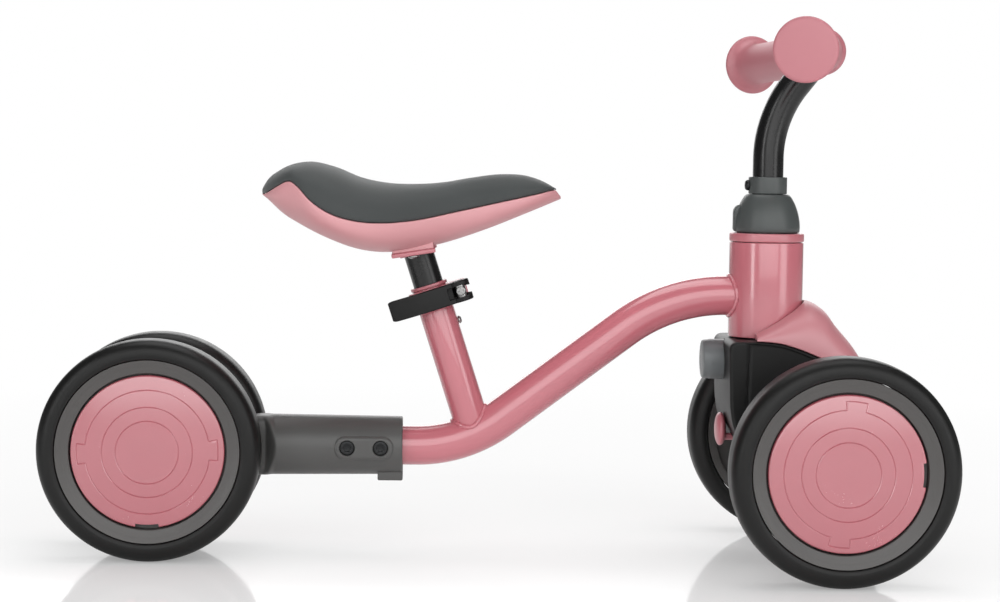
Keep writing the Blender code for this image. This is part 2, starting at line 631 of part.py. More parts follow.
def clamp(seat):
    """Quick-release clamp: slit collar with two ears, cross bolt, barrel nut and cam lever."""
    low, high = CLAMP_AT - CLAMP_HEIGHT / 2, CLAMP_AT + CLAMP_HEIGHT / 2
    inner = SEAT_TUBE_RADIUS + GAP
    collar = lathe("clamp_collar", pipe_profile(inner + CLAMP_WALL, inner, low, high), "pink_paint", seat)
    outer_face = EAR_SLIT / 2 + EAR_THICKNESS
    ears = block("clamp_ears", (inner + 1 * MM, -outer_face, low), (EAR_REACH, outer_face, high),
                 "pink_paint", seat)
    weld(collar, ears)
    cut(collar, block("clamp_slit", (0, -EAR_SLIT / 2, low - 1 * MM),
                      (EAR_REACH + 5 * MM, EAR_SLIT / 2, high + 1 * MM), "steel", seat))
    bore = lathe("clamp_bore", rod_profile(inner, low - 1 * MM, high + 1 * MM), "steel", seat)
    cut(collar, bore)
    hole = lathe("clamp_bolt_hole", rod_profile(BOLT_RADIUS + GAP, -20 * MM, 20 * MM), "steel", seat,
                 (BOLT_AT, 0, CLAMP_AT), (math.pi / 2, 0, 0), 8)
    cut(collar, hole)
    head = outer_face + GAP
    tip = LEVER_OUT + BARREL_RADIUS + 0.5 * MM
    profile = [(0, -head - 3 * MM), (4 * MM, -head - 3 * MM), (4 * MM, -head), (BOLT_RADIUS, -head),
               (BOLT_RADIUS, tip), (0, tip)]
    lathe("clamp_bolt", profile, "steel", seat, (BOLT_AT, 0, CLAMP_AT), (math.pi / 2, 0, 0), 10)
    reach = CLAMP_HEIGHT / 2 - 0.4 * MM
    barrel = lathe("clamp_barrel", rod_profile(BARREL_RADIUS, -reach, reach), "steel", seat,
                   (BOLT_AT, -LEVER_OUT, CLAMP_AT), sides=12)
    cross = lathe("clamp_barrel_hole", rod_profile(BOLT_RADIUS + FIT, -10 * MM, 10 * MM), "steel", seat,
                  (BOLT_AT, -LEVER_OUT, CLAMP_AT), (math.pi / 2, 0, 0), 10)
    cut(barrel, cross)
    clamp_lever(seat)


def clamp_lever(seat):
    """Curved lever whose forked eye turns on the barrel nut; its origin is on that axis."""
    pivot = axis_empty("clamp_lever_axis", seat, (BOLT_AT, -LEVER_OUT, CLAMP_AT))
    half = CLAMP_HEIGHT / 2
    tail = LEVER_TAIL - BOLT_AT
    sag = 5.4 * MM
    radius = ((tail / 2) ** 2 + sag ** 2) / (2 * sag)
    middle = (tail / 2, radius - sag - 0.6 * MM)
    spread = math.asin(abs(tail) / 2 / radius)
    base = -math.pi / 2
    inner = arc(middle, radius - LEVER_THICKNESS / 2, base - spread, base + spread * 0.86, 8)
    outer = arc(middle, radius + LEVER_THICKNESS / 2, base - spread, base + spread * 0.86, 8)
    arm = outer + list(reversed(inner))
    lever = extrude("clamp_lever", arm, -half, half, "black_plastic", pivot, across="z")
    eye = lathe("lever_eye", rod_profile(LEVER_EYE_RADIUS, -half, half), "black_plastic", pivot, sides=16)
    weld(lever, eye)
    window = LEVER_WINDOW / 2
    cut(lever, block("lever_window", (-8.5 * MM, -12 * MM, -window), (12 * MM, 12 * MM, window), "steel",
                     pivot))
    cut(lever, lathe("lever_bore", rod_profile(BARREL_RADIUS + FIT, -12 * MM, 12 * MM), "steel", pivot,
                     sides=12))
    return lever


def seat_post(seat_slide):
    """Round post with a keyway along its front for the guide screw."""
    top = SOCKET_TOP - 4 * MM
    profile = pipe_profile(POST_RADIUS, POST_RADIUS - POST_WALL, POST_BOTTOM, top)
    post = lathe("seat_post", profile, "black_paint", seat_slide)
    key = block("keyway", (POST_RADIUS - KEYWAY_DEPTH, -KEYWAY_WIDTH / 2, POST_BOTTOM + 4 * MM),
                (POST_RADIUS + 5 * MM, KEYWAY_WIDTH / 2, SEAT_TUBE_TOP - 4 * MM), "steel", seat_slide)
    return cut(post, key)


def plate_level():
    """Height of the bracket plate's top face above the ground at its middle."""
    return (curve_value(KEEL, PLATE_X / MM)) * MM - 0.6 * MM


def seat_bracket(seat_slide):
    """Socket for the post with a plate that carries the seat shell."""
    outer = POST_RADIUS + FIT + SOCKET_WALL
    bracket = lathe("seat_bracket", rod_profile(outer, BRACKET_BOTTOM, SOCKET_TOP), "pink_plastic", seat_slide)
    to_slide = seat_slide.matrix_world.inverted()
    centre = to_slide @ Vector((PLATE_X, 0, plate_level()))
    tilt = -PLATE_TILT + SEAT_ANGLE
    plate = block("bracket_plate", (-PLATE_LENGTH / 2, -PLATE_WIDTH / 2, -PLATE_THICKNESS),
                  (PLATE_LENGTH / 2, PLATE_WIDTH / 2, 0), "pink_plastic", seat_slide, centre, (0, tilt, 0))
    weld(bracket, plate)
    bore = lathe("bracket_bore", rod_profile(POST_RADIUS + FIT, BRACKET_BOTTOM - 5 * MM, SOCKET_TOP - 3 * MM),
                 "steel", seat_slide)
    cut(bracket, bore)
    for label, out in (("left", SEAT_SCREW_OUT), ("right", -SEAT_SCREW_OUT)):
        hole = lathe(f"plate_hole_{label}", rod_profile(2.3 * MM, -10 * MM, 10 * MM), "steel", seat_slide,
                     to_slide @ Vector((PLATE_X, out, plate_level())), (0, tilt, 0), 8)
        cut(bracket, hole)
        profile = [(0, -PLATE_THICKNESS - 2.3 * MM), (3.6 * MM, -PLATE_THICKNESS - 1.5 * MM),
                   (3.6 * MM, -PLATE_THICKNESS - GAP), (2 * MM, -PLATE_THICKNESS - GAP), (2 * MM, 6 * MM),
                   (0, 6 * MM)]
        lathe(f"seat_screw_{label}", profile, "steel", seat_slide,
              to_slide @ Vector((PLATE_X, out, plate_level())), (0, tilt, 0), 8)
    return bracket


def seat_half_width(x):
    """Half width of the seat in plan at x millimetres: broad round rear, narrow round nose."""
    rear, nose = -145.0, 45.5
    blend = min(max((x + 92) / 84, 0), 1)
    narrowing = (SEAT_NOSE_HALF_WIDTH - SEAT_REAR_HALF_WIDTH) * blend * blend * (3 - 2 * blend)
    width = SEAT_REAR_HALF_WIDTH + narrowing
    rear_part = min((x - rear) / 46, 1)
    nose_part = min((nose - x) / 34, 1)
    rear_round = math.sqrt(max(1 - (1 - rear_part) ** 2, 0))
    nose_round = math.sqrt(max(1 - (1 - nose_part) ** 2, 0))
    return width * rear_round * nose_round


def loft(name, stations, finish, parent=None):
    """Solid through closed sections of equal point counts, capped at both ends."""
    count = len(stations[0])
    points = [p for section in stations for p in section]
    faces = [list(range(count)), [len(points) - 1 - k for k in range(count)]]
    for row in range(len(stations) - 1):
        for k in range(count):
            other = (k + 1) % count
            faces.append([row * count + k, row * count + other, (row + 1) * count + other,
                          (row + 1) * count + k])
    return solid(name, points, faces, finish, parent, smooth=60)


def arch_section(x, half_width, base, crown, power, steps=10):
    """Section in the YZ plane: a level base with a rounded arch of the given power above or below."""
    section = []
    for k in range(steps + 1):
        angle = math.pi * k / steps
        across, rise = math.cos(angle), math.sin(angle)
        section.append((x * MM, half_width * math.copysign(abs(across) ** (2 / power), across),
                        (base + (crown - base) * rise ** (2 / power)) * MM))
    return section


def seat_stations(first, last, count):
    """X values in millimetres, closer together at both ends."""
    return [first + (last - first) * (1 - math.cos(math.pi * k / (count - 1))) / 2 for k in range(count)]


def seat_shell(seat_slide):
    """Moulded seat pan: a hull-shaped bowl, holed for the bracket's socket and its screws."""
    keep = seat_slide.matrix_world.inverted()
    outside = []
    for x in seat_stations(*SEAT_COMMON, SEAT_SECTIONS) + [SHELL_TIP]:
        rim = curve_value(PARTING, x)
        outside.append([keep @ Vector(p) for p in arch_section(
            x, seat_half_width(x), rim - GAP / MM, min(curve_value(KEEL, x), rim - 0.8), 2.4)])
    shell = loft("seat_shell", outside, "pink_plastic", seat_slide)
    inside = []
    for x in seat_stations(-116.0, 12.0, 11):
        floor = curve_value(KEEL, x) + SHELL_WALL / MM
        inside.append([keep @ Vector(p) for p in arch_section(
            x, seat_half_width(x) - 1.6 * SHELL_WALL, curve_value(PARTING, x) + 6, floor, 2.4)])
    cut(shell, loft("shell_hollow", inside, "steel", seat_slide))
    socket = POST_RADIUS + FIT + SOCKET_WALL + GAP
    cut(shell, lathe("socket_hole", rod_profile(socket, BRACKET_BOTTOM, SOCKET_TOP + 3 * MM), "steel",
                     seat_slide))
    tilt = -PLATE_TILT + SEAT_ANGLE
    recess = block("plate_recess", (-PLATE_LENGTH / 2 - GAP, -PLATE_WIDTH / 2 - GAP, -8 * MM),
                   (PLATE_LENGTH / 2 + GAP, PLATE_WIDTH / 2 + GAP, GAP), "steel", seat_slide,
                   keep @ Vector((PLATE_X, 0, plate_level())), (0, tilt, 0))
    cut(shell, recess)
    for label, out in (("left", SEAT_SCREW_OUT), ("right", -SEAT_SCREW_OUT)):
        hole = lathe(f"shell_hole_{label}", rod_profile(2.2 * MM, -10 * MM, 12 * MM), "steel", seat_slide,
                     keep @ Vector((PLATE_X, out, plate_level())), (0, tilt, 0), 8)
        cut(shell, hole)
    return shell


def seat_pad(seat_slide):
    """Soft foam pad that lies on the shell's rim."""
    keep = seat_slide.matrix_world.inverted()
    sections = []
    for x in [PAD_TAIL] + seat_stations(*SEAT_COMMON, SEAT_SECTIONS):
        base = curve_value(PARTING, x)
        crown = max(curve_value(PAD_TOP, x), base + 0.8)
        sections.append([keep @ Vector(p) for p in arch_section(x, seat_half_width(x), base, crown, 2.6)])
    return loft("seat_pad", sections, "grey_foam", seat_slide)


# ---------------------------------------------------------------- steering assembly

def fork_outline(grow=0.0):
    """Side outline of the fork in the steering frame, moved outwards by a small distance."""
    centre = Vector((205 * MM - STEER_X, 95 * MM))
    points = []
    for x, z in FORK_TOP + FORK_BOTTOM:
        away = Vector((x * MM - STEER_X, z * MM)) - centre
        points.append(tuple(centre + away * (1 + 1.3 * grow / away.length)))
    return points


def fork_body(steering):
    """Moulded fork: a hollow body open below, a crown for the steerer and a cross tube for the axle."""
    outline = fork_outline()
    fork = extrude("fork_body", outline, -FORK_HALF_WIDTH, FORK_HALF_WIDTH, "black_plastic", steering)
    centre = (205 * MM - STEER_X, 95 * MM)
    shrink = []
    for x, z in outline:
        away = Vector((x - centre[0], z - centre[1]))
        away *= (away.length - FORK_WALL * 1.15) / away.length
        low = away.y < -20 * MM
        shrink.append((centre[0] + away.x, centre[1] + away.y - (30 * MM if low else 0)))
    hollow_half = FORK_HALF_WIDTH - FORK_WALL
    cut(fork, extrude("fork_hollow", shrink, -hollow_half, hollow_half, "steel", steering))
    wheel_face = FRONT_TRACK / 2 - WHEEL_HALF_WIDTH - GAP
    housing = lathe("axle_cross_tube", rod_profile(AXLE_HOUSING_RADIUS, -wheel_face, wheel_face),
                    "black_plastic", steering, (WHEELBASE / 2 - STEER_X, 0, WHEEL_RADIUS), (math.pi / 2, 0, 0), 16)
    weld(fork, housing)
    top = FORK_TOP[0][1] * MM
    crown = lathe("crown_boss", rod_profile(CROWN_RADIUS, STEERER_BOTTOM - 5 * MM, top - 0.5 * MM),
                  "black_plastic", steering, sides=20)
    weld(fork, crown)
    cut(fork, lathe("steerer_socket", rod_profile(STEERER_RADIUS + FIT, STEERER_BOTTOM - FIT, top + 10 * MM),
                    "steel", steering, sides=28))
    cut(fork, lathe("front_axle_bore", rod_profile(AXLE_RADIUS + FIT, -FRONT_TRACK / 2, FRONT_TRACK / 2),
                    "steel", steering, (WHEELBASE / 2 - STEER_X, 0, WHEEL_RADIUS), (math.pi / 2, 0, 0), 12))
    wall_back = FORK_TOP[0][0] * MM - STEER_X
    opening = rod_profile(BUTTON_RADIUS + GAP, wall_back - 4 * MM, wall_back + FORK_WALL + 3 * MM)
    cut(fork, lathe("button_opening", opening, "steel", steering, (0, 0, BUTTON_Z), (0, math.pi / 2, 0), 20))
    cut(fork, lathe("latch_pin_hole", rod_profile(LATCH_PIN_RADIUS + FIT, -30 * MM, -6 * MM), "steel", steering,
                    (0, 0, LATCH_Z - LATCH_PIN_DROP), (0, math.pi / 2, 0), 10))
    return fork


def cover_edge(step, steps):
    """Point on the fork's top edge where the cover's side ends, for one section of the cover."""
    edge = [(168, 142.6)] + FORK_TOP[1:]
    lengths = [0.0]
    for a, b in zip(edge, edge[1:]):
        lengths.append(lengths[-1] + math.dist(a, b))
    reach = lengths[-1] * step / steps
    k = min(next(i for i, value in enumerate(lengths[1:]) if value >= reach - 1e-9), len(edge) - 2)
    part = (reach - lengths[k]) / (lengths[k + 1] - lengths[k])
    return [edge[k][i] + (edge[k + 1][i] - edge[k][i]) * part for i in (0, 1)]


def front_cover(steering):
    """Painted cowl over the front of the fork, cut away round the head tube."""
    rows = len(COVER_RIDGE)
    steps = 10
    points = []
    for row, ridge in enumerate(COVER_RIDGE):
        edge = cover_edge(row, rows - 1)
        for k in range(steps + 1):
            angle = math.pi * k / steps
            rise = math.sin(angle) ** 0.9
            x = edge[0] + (ridge[0] - edge[0]) * rise
            z = edge[1] + (ridge[1] - edge[1]) * rise
            across = -math.copysign(abs(math.cos(angle)) ** 0.9, math.cos(angle))
            points.append((x * MM - STEER_X, across * (FORK_HALF_WIDTH - 0.5 * MM), z * MM + 0.6 * MM))
    faces = []
    for row in range(rows - 1):
        for k in range(steps):
            a = row * (steps + 1) + k
            faces.append([a, a + 1, a + steps + 2, a + steps + 1])
    cover = solid("front_cover", points, faces, "pink_plastic", steering, smooth=60)
    skin = cover.modifiers.new("wall", "SOLIDIFY")
    skin.thickness = COVER_WALL
    skin.offset = 1.0 if cover_faces_inward(cover) else -1.0
    skin.use_even_offset = True
    seat = extrude("cover_seat", fork_outline(GAP), -2 * FORK_HALF_WIDTH, 2 * FORK_HALF_WIDTH, "steel",
                   steering)
    cut(cover, seat)
    cut(cover, lathe("head_tube_clearance", rod_profile(HEAD_RADIUS + COVER_GAP, 130 * MM, 190 * MM), "steel",
                     steering, sides=28))
    return cover


def cover_faces_inward(cover):
    """Whether the cover surface's normals point down into the fork."""
    lift = sum(face.normal.z * face.area for face in cover.data.polygons)
    return lift < 0


def steerer(steering):
    profile = pipe_profile(STEERER_RADIUS, STEERER_RADIUS - STEERER_WALL, STEERER_BOTTOM, STEERER_TOP)
    lathe("steerer", profile, "steel", steering, sides=28)


def bell_collar(steering):
    """Bell-shaped collar over the steerer's top with a small rib at the back."""
    bore = STEERER_RADIUS + GAP
    profile = [(bore, BELL_BOTTOM), (BELL_RADIUS - 1 * MM, BELL_BOTTOM)]
    for k in range(6):
        part = k / 5
        radius = BELL_NECK_RADIUS + (BELL_RADIUS - BELL_NECK_RADIUS) * math.cos(part * math.pi / 2) ** 0.8
        profile.append((radius, BELL_BOTTOM + 2 * MM + (BELL_TOP - BELL_BOTTOM - 2 * MM) * part))
    profile.append((bore, BELL_TOP))
    bell = lathe("bell_collar", profile, "grey_plastic", steering)
    rib = block("bell_rib", (-BELL_RADIUS - 0.8 * MM, -3 * MM, BELL_BOTTOM),
                (-STEERER_RADIUS - 1 * MM, 3 * MM, BELL_BOTTOM + 17.5 * MM), "grey_plastic", steering)
    return weld(bell, rib)


def stem_clamp(steering):
    """Upper clamp ring with its radial screw at the back."""
    level = (BELL_TOP + GAP + RING_TOP) / 2
    ring = lathe("stem_clamp_ring", pipe_profile(RING_RADIUS, STEM_RADIUS + FIT, BELL_TOP + GAP, RING_TOP),
                 "grey_plastic", steering)
    cut(ring, lathe("ring_screw_hole", rod_profile(1.5 * MM + FIT, 0, 20 * MM), "steel", steering,
                    (0, 0, level), (0, -math.pi / 2, 0), 8))
    face = RING_RADIUS + GAP
    profile = [(0, STEM_RADIUS + GAP), (1.5 * MM, STEM_RADIUS + GAP), (1.5 * MM, face),
               (RING_SCREW_RADIUS, face), (RING_SCREW_RADIUS, face + 1.4 * MM), (0, face + 2.6 * MM)]
    lathe("stem_clamp_screw", profile, "black_paint", steering, (0, 0, level), (0, -math.pi / 2, 0), 10)


def stem_path():
    """Centre line of the stem, in the steering frame: straight up, then leaning forward to the bar."""
    bend = arc((STEM_BEND_RADIUS, STEM_BEND_START), STEM_BEND_RADIUS, math.pi, math.pi - STEM_LEAN, 6)
    reach = (BAR_Z - bend[-1][1]) / math.cos(STEM_LEAN) - BAR_RADIUS - GAP
    end = (bend[-1][0] + reach * math.sin(STEM_LEAN), bend[-1][1] + reach * math.cos(STEM_LEAN))
    return [(x, 0, z) for x, z in [(0, STEM_BOTTOM)] + bend + [end]]


def bar_centre():
    """Middle of the crossbar in the steering frame, on the stem's own line."""
    last = stem_path()[-1]
    reach = BAR_RADIUS + GAP
    return (last[0] + reach * math.sin(STEM_LEAN), last[2] + reach * math.cos(STEM_LEAN))


def bar_half(side):
    """Corner and end of one half of the crossbar."""
    x, z = bar_centre()
    drop, back = BAR_Z - BAR_END_Z, BAR_X - BAR_END_X
    return Vector((x, side * BAR_STRAIGHT, z)), Vector((x - back, side * BAR_HALF_WIDTH, z - drop))


def handlebar(steering):
    """Stem, swept crossbar and the two end grips."""
    sweep("handlebar_stem", stem_path(), (STEM_RADIUS,), "black_paint", 14, steering)
    right_corner, right_end = bar_half(-1)
    left_corner, left_end = bar_half(1)
    bar = sweep("handlebar_crossbar", [right_end, right_corner, left_corner, left_end], (BAR_RADIUS,),
                "black_paint", 14, steering)
    for label, side in (("left", 1), ("right", -1)):
        grip(label, side, steering)
    return bar


def grip(label, side, steering):
    """Rubber grip closed at its end by a broad round disc, pushed over the bar."""
    corner, end = bar_half(side)
    along = (end - corner).normalized()
    start = corner + along * (GRIP_START - BAR_STRAIGHT)
    bore = BAR_RADIUS + GAP
    hole_end = (end - start).length + 0.5 * MM
    length = hole_end + GRIP_END_WALL
    profile = [(0, hole_end), (bore, hole_end), (bore, 0), (GRIP_FLANGE_RADIUS, 0),
               (GRIP_FLANGE_RADIUS, 3 * MM), (GRIP_RADIUS, 5.5 * MM), (GRIP_RADIUS, length - 13 * MM),
               (GRIP_RADIUS + 1.8 * MM, length - 7.5 * MM),
               (GRIP_DISC_RADIUS - 1 * MM, length - 4.5 * MM),
               (GRIP_DISC_RADIUS, length - 3 * MM), (GRIP_DISC_RADIUS - 1.5 * MM, length - 0.6 * MM),
               (0, length)]
    turn = along.to_track_quat("Z", "Y").to_euler()
    return lathe(f"grip_{label}", profile, "pink_rubber", steering, start, turn, 20)


def lock_button(steering):
    """Push button of the steering lock, a hollow cup that slides into the fork's back."""
    slide = axis_empty("lock_button_axis", steering, (BUTTON_BACK - STEER_X, 0, BUTTON_Z), (0, math.pi / 2, 0))
    inner = BUTTON_RADIUS - BUTTON_WALL
    stem = 2.5 * MM
    profile = [(0, 0), (BUTTON_RADIUS - 1.2 * MM, 0), (BUTTON_RADIUS, 1.2 * MM), (BUTTON_RADIUS, BUTTON_LENGTH),
               (inner, BUTTON_LENGTH), (inner, BUTTON_WALL), (stem, BUTTON_WALL),
               (stem, BUTTON_LENGTH + 2 * MM), (0, BUTTON_LENGTH + 2 * MM)]
    lathe("lock_button", profile, "grey_plastic", slide, sides=20)
    start = BUTTON_BACK + BUTTON_WALL + BUTTON_TRAVEL + 2 * GAP + SPRING_WIRE - STEER_X
    end = -CROWN_RADIUS - GAP - SPRING_WIRE
    turns, per_turn = 3, 10
    coil = []
    for k in range(turns * per_turn + 1):
        angle = 2 * math.pi * k / per_turn
        x = start + (end - start) * k / (turns * per_turn)
        coil.append((x, SPRING_RADIUS * math.sin(angle), BUTTON_Z + SPRING_RADIUS * math.cos(angle)))
    sweep("lock_spring", coil, (SPRING_WIRE,), "steel", 6, steering)


def axle_latch(steering):
    """Round domed pull knob low on the fork's back, with its pin."""
    slide = axis_empty("axle_latch_axis", steering, (LATCH_BACK - STEER_X, 0, LATCH_Z), (0, math.pi / 2, 0))
    half = LATCH_THICKNESS / 2
    profile = [(0, 0), (LATCH_RADIUS * 0.55, half * 0.25), (LATCH_RADIUS * 0.9, half * 0.72),
               (LATCH_RADIUS, half),
               (LATCH_RADIUS * 0.9, half * 1.28), (LATCH_RADIUS * 0.55, half * 1.75), (0, LATCH_THICKNESS)]
    knob = lathe("axle_latch", profile, "pink_plastic", slide, sides=18)
    pin = lathe("axle_latch_pin", rod_profile(LATCH_PIN_RADIUS, half, half + 15 * MM), "pink_plastic", slide,
                (LATCH_PIN_DROP, 0, 0), sides=10)
    return weld(knob, pin)


def assemble():
    clear_scene()
    rear_x, front_x = -WHEELBASE / 2, WHEELBASE / 2
    seat = axis_empty("seat_tube_axis", None, (SEAT_FOOT_X, 0, SEAT_FOOT_Z), (0, -SEAT_ANGLE, 0))
    slide = axis_empty("seat_slide_axis", seat)
    steering = axis_empty("steering_axis", None, (STEER_X, 0, 0))
    bpy.context.view_layer.update()
    main_tube()
    seat_tube(seat)
    post_bush(seat)
    guide_screw(seat)
    head_tube()
    head_bearings()
    rear_housing(rear_x)
    housing_screws()
    axle("rear_axle", rear_x, REAR_TRACK)
    for label, side in (("left", 1), ("right", -1)):
        wheel(f"rear_{label}", None, rear_x, side * REAR_TRACK / 2)
        wheel(f"front_{label}", steering, front_x - STEER_X, side * FRONT_TRACK / 2)
    clamp(seat)
    seat_post(slide)
    seat_bracket(slide)
    seat_shell(slide)
    seat_pad(slide)
    fork_body(steering)
    front_cover(steering)
    steerer(steering)
    bell_collar(steering)
    stem_clamp(steering)
    handlebar(steering)
    axle("front_axle", front_x - STEER_X, FRONT_TRACK, steering)
    lock_button(steering)
    axle_latch(steering)


assemble()
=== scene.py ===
"""Looks of a toddler's four-wheeled balance bike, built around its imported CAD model.

Axes: +X is forward, +Y is the rider's left, +Z is up; the ground is Z = 0. Sizes are written in
millimetres and put into the meshes in metres.
"""
import math

import bmesh
import bpy
import numpy as np
from mathutils import Matrix, Vector


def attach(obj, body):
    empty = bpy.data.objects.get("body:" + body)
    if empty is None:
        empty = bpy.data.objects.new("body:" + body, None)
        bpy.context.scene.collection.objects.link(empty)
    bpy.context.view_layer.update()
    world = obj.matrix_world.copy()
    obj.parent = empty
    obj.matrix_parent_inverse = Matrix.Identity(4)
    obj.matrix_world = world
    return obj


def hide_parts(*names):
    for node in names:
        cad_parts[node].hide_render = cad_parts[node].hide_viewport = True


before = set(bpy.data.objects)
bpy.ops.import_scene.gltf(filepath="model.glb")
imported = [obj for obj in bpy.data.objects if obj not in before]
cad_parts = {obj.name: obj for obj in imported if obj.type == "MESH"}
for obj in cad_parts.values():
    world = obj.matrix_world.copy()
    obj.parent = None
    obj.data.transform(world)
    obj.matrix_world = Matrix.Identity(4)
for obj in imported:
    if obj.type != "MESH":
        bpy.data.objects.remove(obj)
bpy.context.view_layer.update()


# ---- main tube ----
# Bent steel tube, 25.4 mm across, from the rear housing up to the head tube. It is welded to the
# head tube with one bead all round and powder-coated pink together with the other frame tubes.

MM = 0.001
TUBE_RADIUS = 12.7
TUBE_HEIGHT = 70.6
TUBE_REAR_END = -122.0
TUBE_FRONT_END = 160.0
REAR_BEND = dict(start=-45.0, radius=90.0)
TUBE_SLOPE = math.radians(37)
SLOPE_LENGTH = 97.5
FRONT_BEND_RADIUS = 110.0
STEER_X = 178.5
HEAD_RADIUS = 23.6
BEAD_RADIUS, BEAD_PROUD = 1.5, 0.25
RIPPLE, RIPPLES = 0.09, 30
PINK_ENAMEL = (0.488, 0.138, 0.168)


class Wire:
    """One shader value. Sums written with it add Math nodes, also where a plain number comes first."""

    def __init__(self, recipe, socket):
        self.recipe, self.socket = recipe, socket

    def sum(self, operation, first, second):
        return self.recipe.node("ShaderNodeMath", {"operation": operation}, {0: first, 1: second})

    def __add__(self, other): return self.sum("ADD", self, other)
    def __radd__(self, other): return self.sum("ADD", other, self)
    def __sub__(self, other): return self.sum("SUBTRACT", self, other)
    def __rsub__(self, other): return self.sum("SUBTRACT", other, self)
    def __mul__(self, other): return self.sum("MULTIPLY", self, other)
    def __rmul__(self, other): return self.sum("MULTIPLY", other, self)


class Recipe:
    """A material in the making. Constant values are set on the shader's own sockets."""

    def __init__(self, name, **constants):
        self.material = bpy.data.materials.new(name)
        self.material.use_nodes = True
        self.tree = self.material.node_tree
        self.shader = self.tree.nodes["Principled BSDF"]
        for socket, value in constants.items():
            self.shader.inputs[socket.replace("_", " ").title().replace("Ior", "IOR")].default_value = value
        self.place = self.node("ShaderNodeTexCoord", output="Object")

    def node(self, kind, settings=None, sockets=None, output=0):
        """Adds a node: its settings first, such as an operation, then its sockets' values or links."""
        node = self.tree.nodes.new(kind)
        for key, value in (settings or {}).items():
            setattr(node, key, value)
        for key, value in (sockets or {}).items():
            self.feed(node.inputs[key], value)
        return Wire(self, node.outputs[output])

    def feed(self, socket, value):
        if isinstance(value, Wire):
            self.tree.links.new(value.socket, socket)
        else:
            socket.default_value = value

    def noise(self, size, detail=2.0, roughness=0.5):
        """Cloudy value from 0 to 1 whose blobs are about size millimetres across."""
        return self.node("ShaderNodeTexNoise", None, {"Vector": self.place, "Scale": 1 / (size * MM),
                                                     "Detail": detail, "Roughness": roughness}, "Fac")

    def cells(self, size, **settings):
        """Distance to the middle of the nearest of many cells about size millimetres across."""
        sockets = {"Vector": self.place, "Scale": 1 / (size * MM)}
        return self.node("ShaderNodeTexVoronoi", settings, sockets, "Distance")

    def mix(self, part, first, second):
        """Colour that goes from the first to the second as the part goes from 0 to 1."""
        return self.node("ShaderNodeMix", {"data_type": "RGBA"}, {0: part, 6: first, 7: second}, 2)

    def ramp(self, value, start, end, **settings):
        """Value that goes from end[0] to end[1] while the given one goes from start[0] to start[1]."""
        sockets = {"Value": value, "From Min": start[0], "From Max": start[1], "To Min": end[0], "To Max": end[1]}
        return self.node("ShaderNodeMapRange", settings, sockets, "Result")

    def tinted(self, colour, part, darker, lighter):
        """Base colour that wanders between a darker and a lighter tint of one colour."""
        low, high = [(*(min(c * level, 1.0) for c in colour), 1.0) for level in (darker, lighter)]
        self.feed(self.shader.inputs["Base Color"], self.mix(part, low, high))

    def rough(self, level):
        self.feed(self.shader.inputs["Roughness"], level)

    def relief(self, height, depth):
        """Bump from a value of 0 to 1 that stands for a relief of depth millimetres."""
        normal = self.node("ShaderNodeBump", None, {"Height": height, "Strength": 1.0, "Distance": depth * MM})
        self.feed(self.shader.inputs["Normal"], normal)


def enamel(name, colour, roughness, peel, gloss=0.9, skin_gloss=0.55):
    """Powder coat: faint clouds in the colour, orange peel in the surface, a clear glossy skin."""
    paint = Recipe(name, specular_ior_level=gloss, coat_weight=skin_gloss, coat_roughness=0.06, coat_ior=1.5)
    paint.tinted(colour, paint.noise(38.0) * 0.7 + paint.noise(0.45) * 0.3, 0.92, 1.07)
    paint.rough(roughness - 0.05 + paint.noise(16.0, 3.0) * 0.1)
    paint.relief(paint.noise(1.9, 2.0) * 0.8 + paint.noise(0.5) * 0.2, peel)
    return paint.material


def arc(centre, radius, start, end, steps):
    """Points (x, z) of an arc: the centre plus the radius times cosine and sine of an even run of angles."""
    angle = np.linspace(start, end, steps)
    return np.stack([centre[0] + radius * np.cos(angle), centre[1] + radius * np.sin(angle)], -1)


def main_tube_line():
    """Centre line of the main tube: straight, bend up, slope, bend level, all in the plane Y = 0."""
    start, radius = REAR_BEND["start"], REAR_BEND["radius"]
    rear = arc((start, TUBE_HEIGHT + radius), radius, -math.pi / 2, -math.pi / 2 + TUBE_SLOPE, 24)
    top = rear[-1] + SLOPE_LENGTH * np.array([math.cos(TUBE_SLOPE), math.sin(TUBE_SLOPE)])
    centre = top + FRONT_BEND_RADIUS * np.array([math.sin(TUBE_SLOPE), -math.cos(TUBE_SLOPE)])
    crest = arc(centre, FRONT_BEND_RADIUS, math.pi / 2 + TUBE_SLOPE, math.pi / 2, 28)
    flat = np.concatenate([[(TUBE_REAR_END, TUBE_HEIGHT)], rear, crest, [(TUBE_FRONT_END, crest[-1][1])]])
    flat = flat[np.concatenate([[True], np.linalg.norm(np.diff(flat, axis=0), axis=1) > 0.5])]
    return np.stack([flat[:, 0], 0 * flat[:, 0], flat[:, 1]], -1)


def circle(radius, sides=64):
    """Points (across, up) of a circle."""
    angle = np.arange(sides) * 2 * math.pi / sides
    return np.stack([radius * np.cos(angle), radius * np.sin(angle)], -1)


def carried(path, section, side=(0, 1, 0)):
    """Grid of a section carried along a path: each point is the path's point plus the section's first
    value along the side direction made square to the path, plus its second along the cross product."""
    path = np.asarray(path, float)
    along = np.gradient(path, axis=0)
    along /= np.linalg.norm(along, axis=1, keepdims=True)
    across = np.asarray(side, float) - along * (along @ np.asarray(side, float))[:, None]
    across /= np.linalg.norm(across, axis=1, keepdims=True)
    up = np.cross(along, across)
    section = np.broadcast_to(section, (len(path),) + np.shape(section)[-2:])
    return path[:, None] + section[..., :1] * across[:, None] + section[..., 1:] * up[:, None]


def ended(grid):
    """The grid with each end drawn to its middle, which closes it with a flat face."""
    first, last = (np.broadcast_to(grid[k].mean(0), grid[k].shape)[None] for k in (0, -1))
    return np.concatenate([first, grid, last])


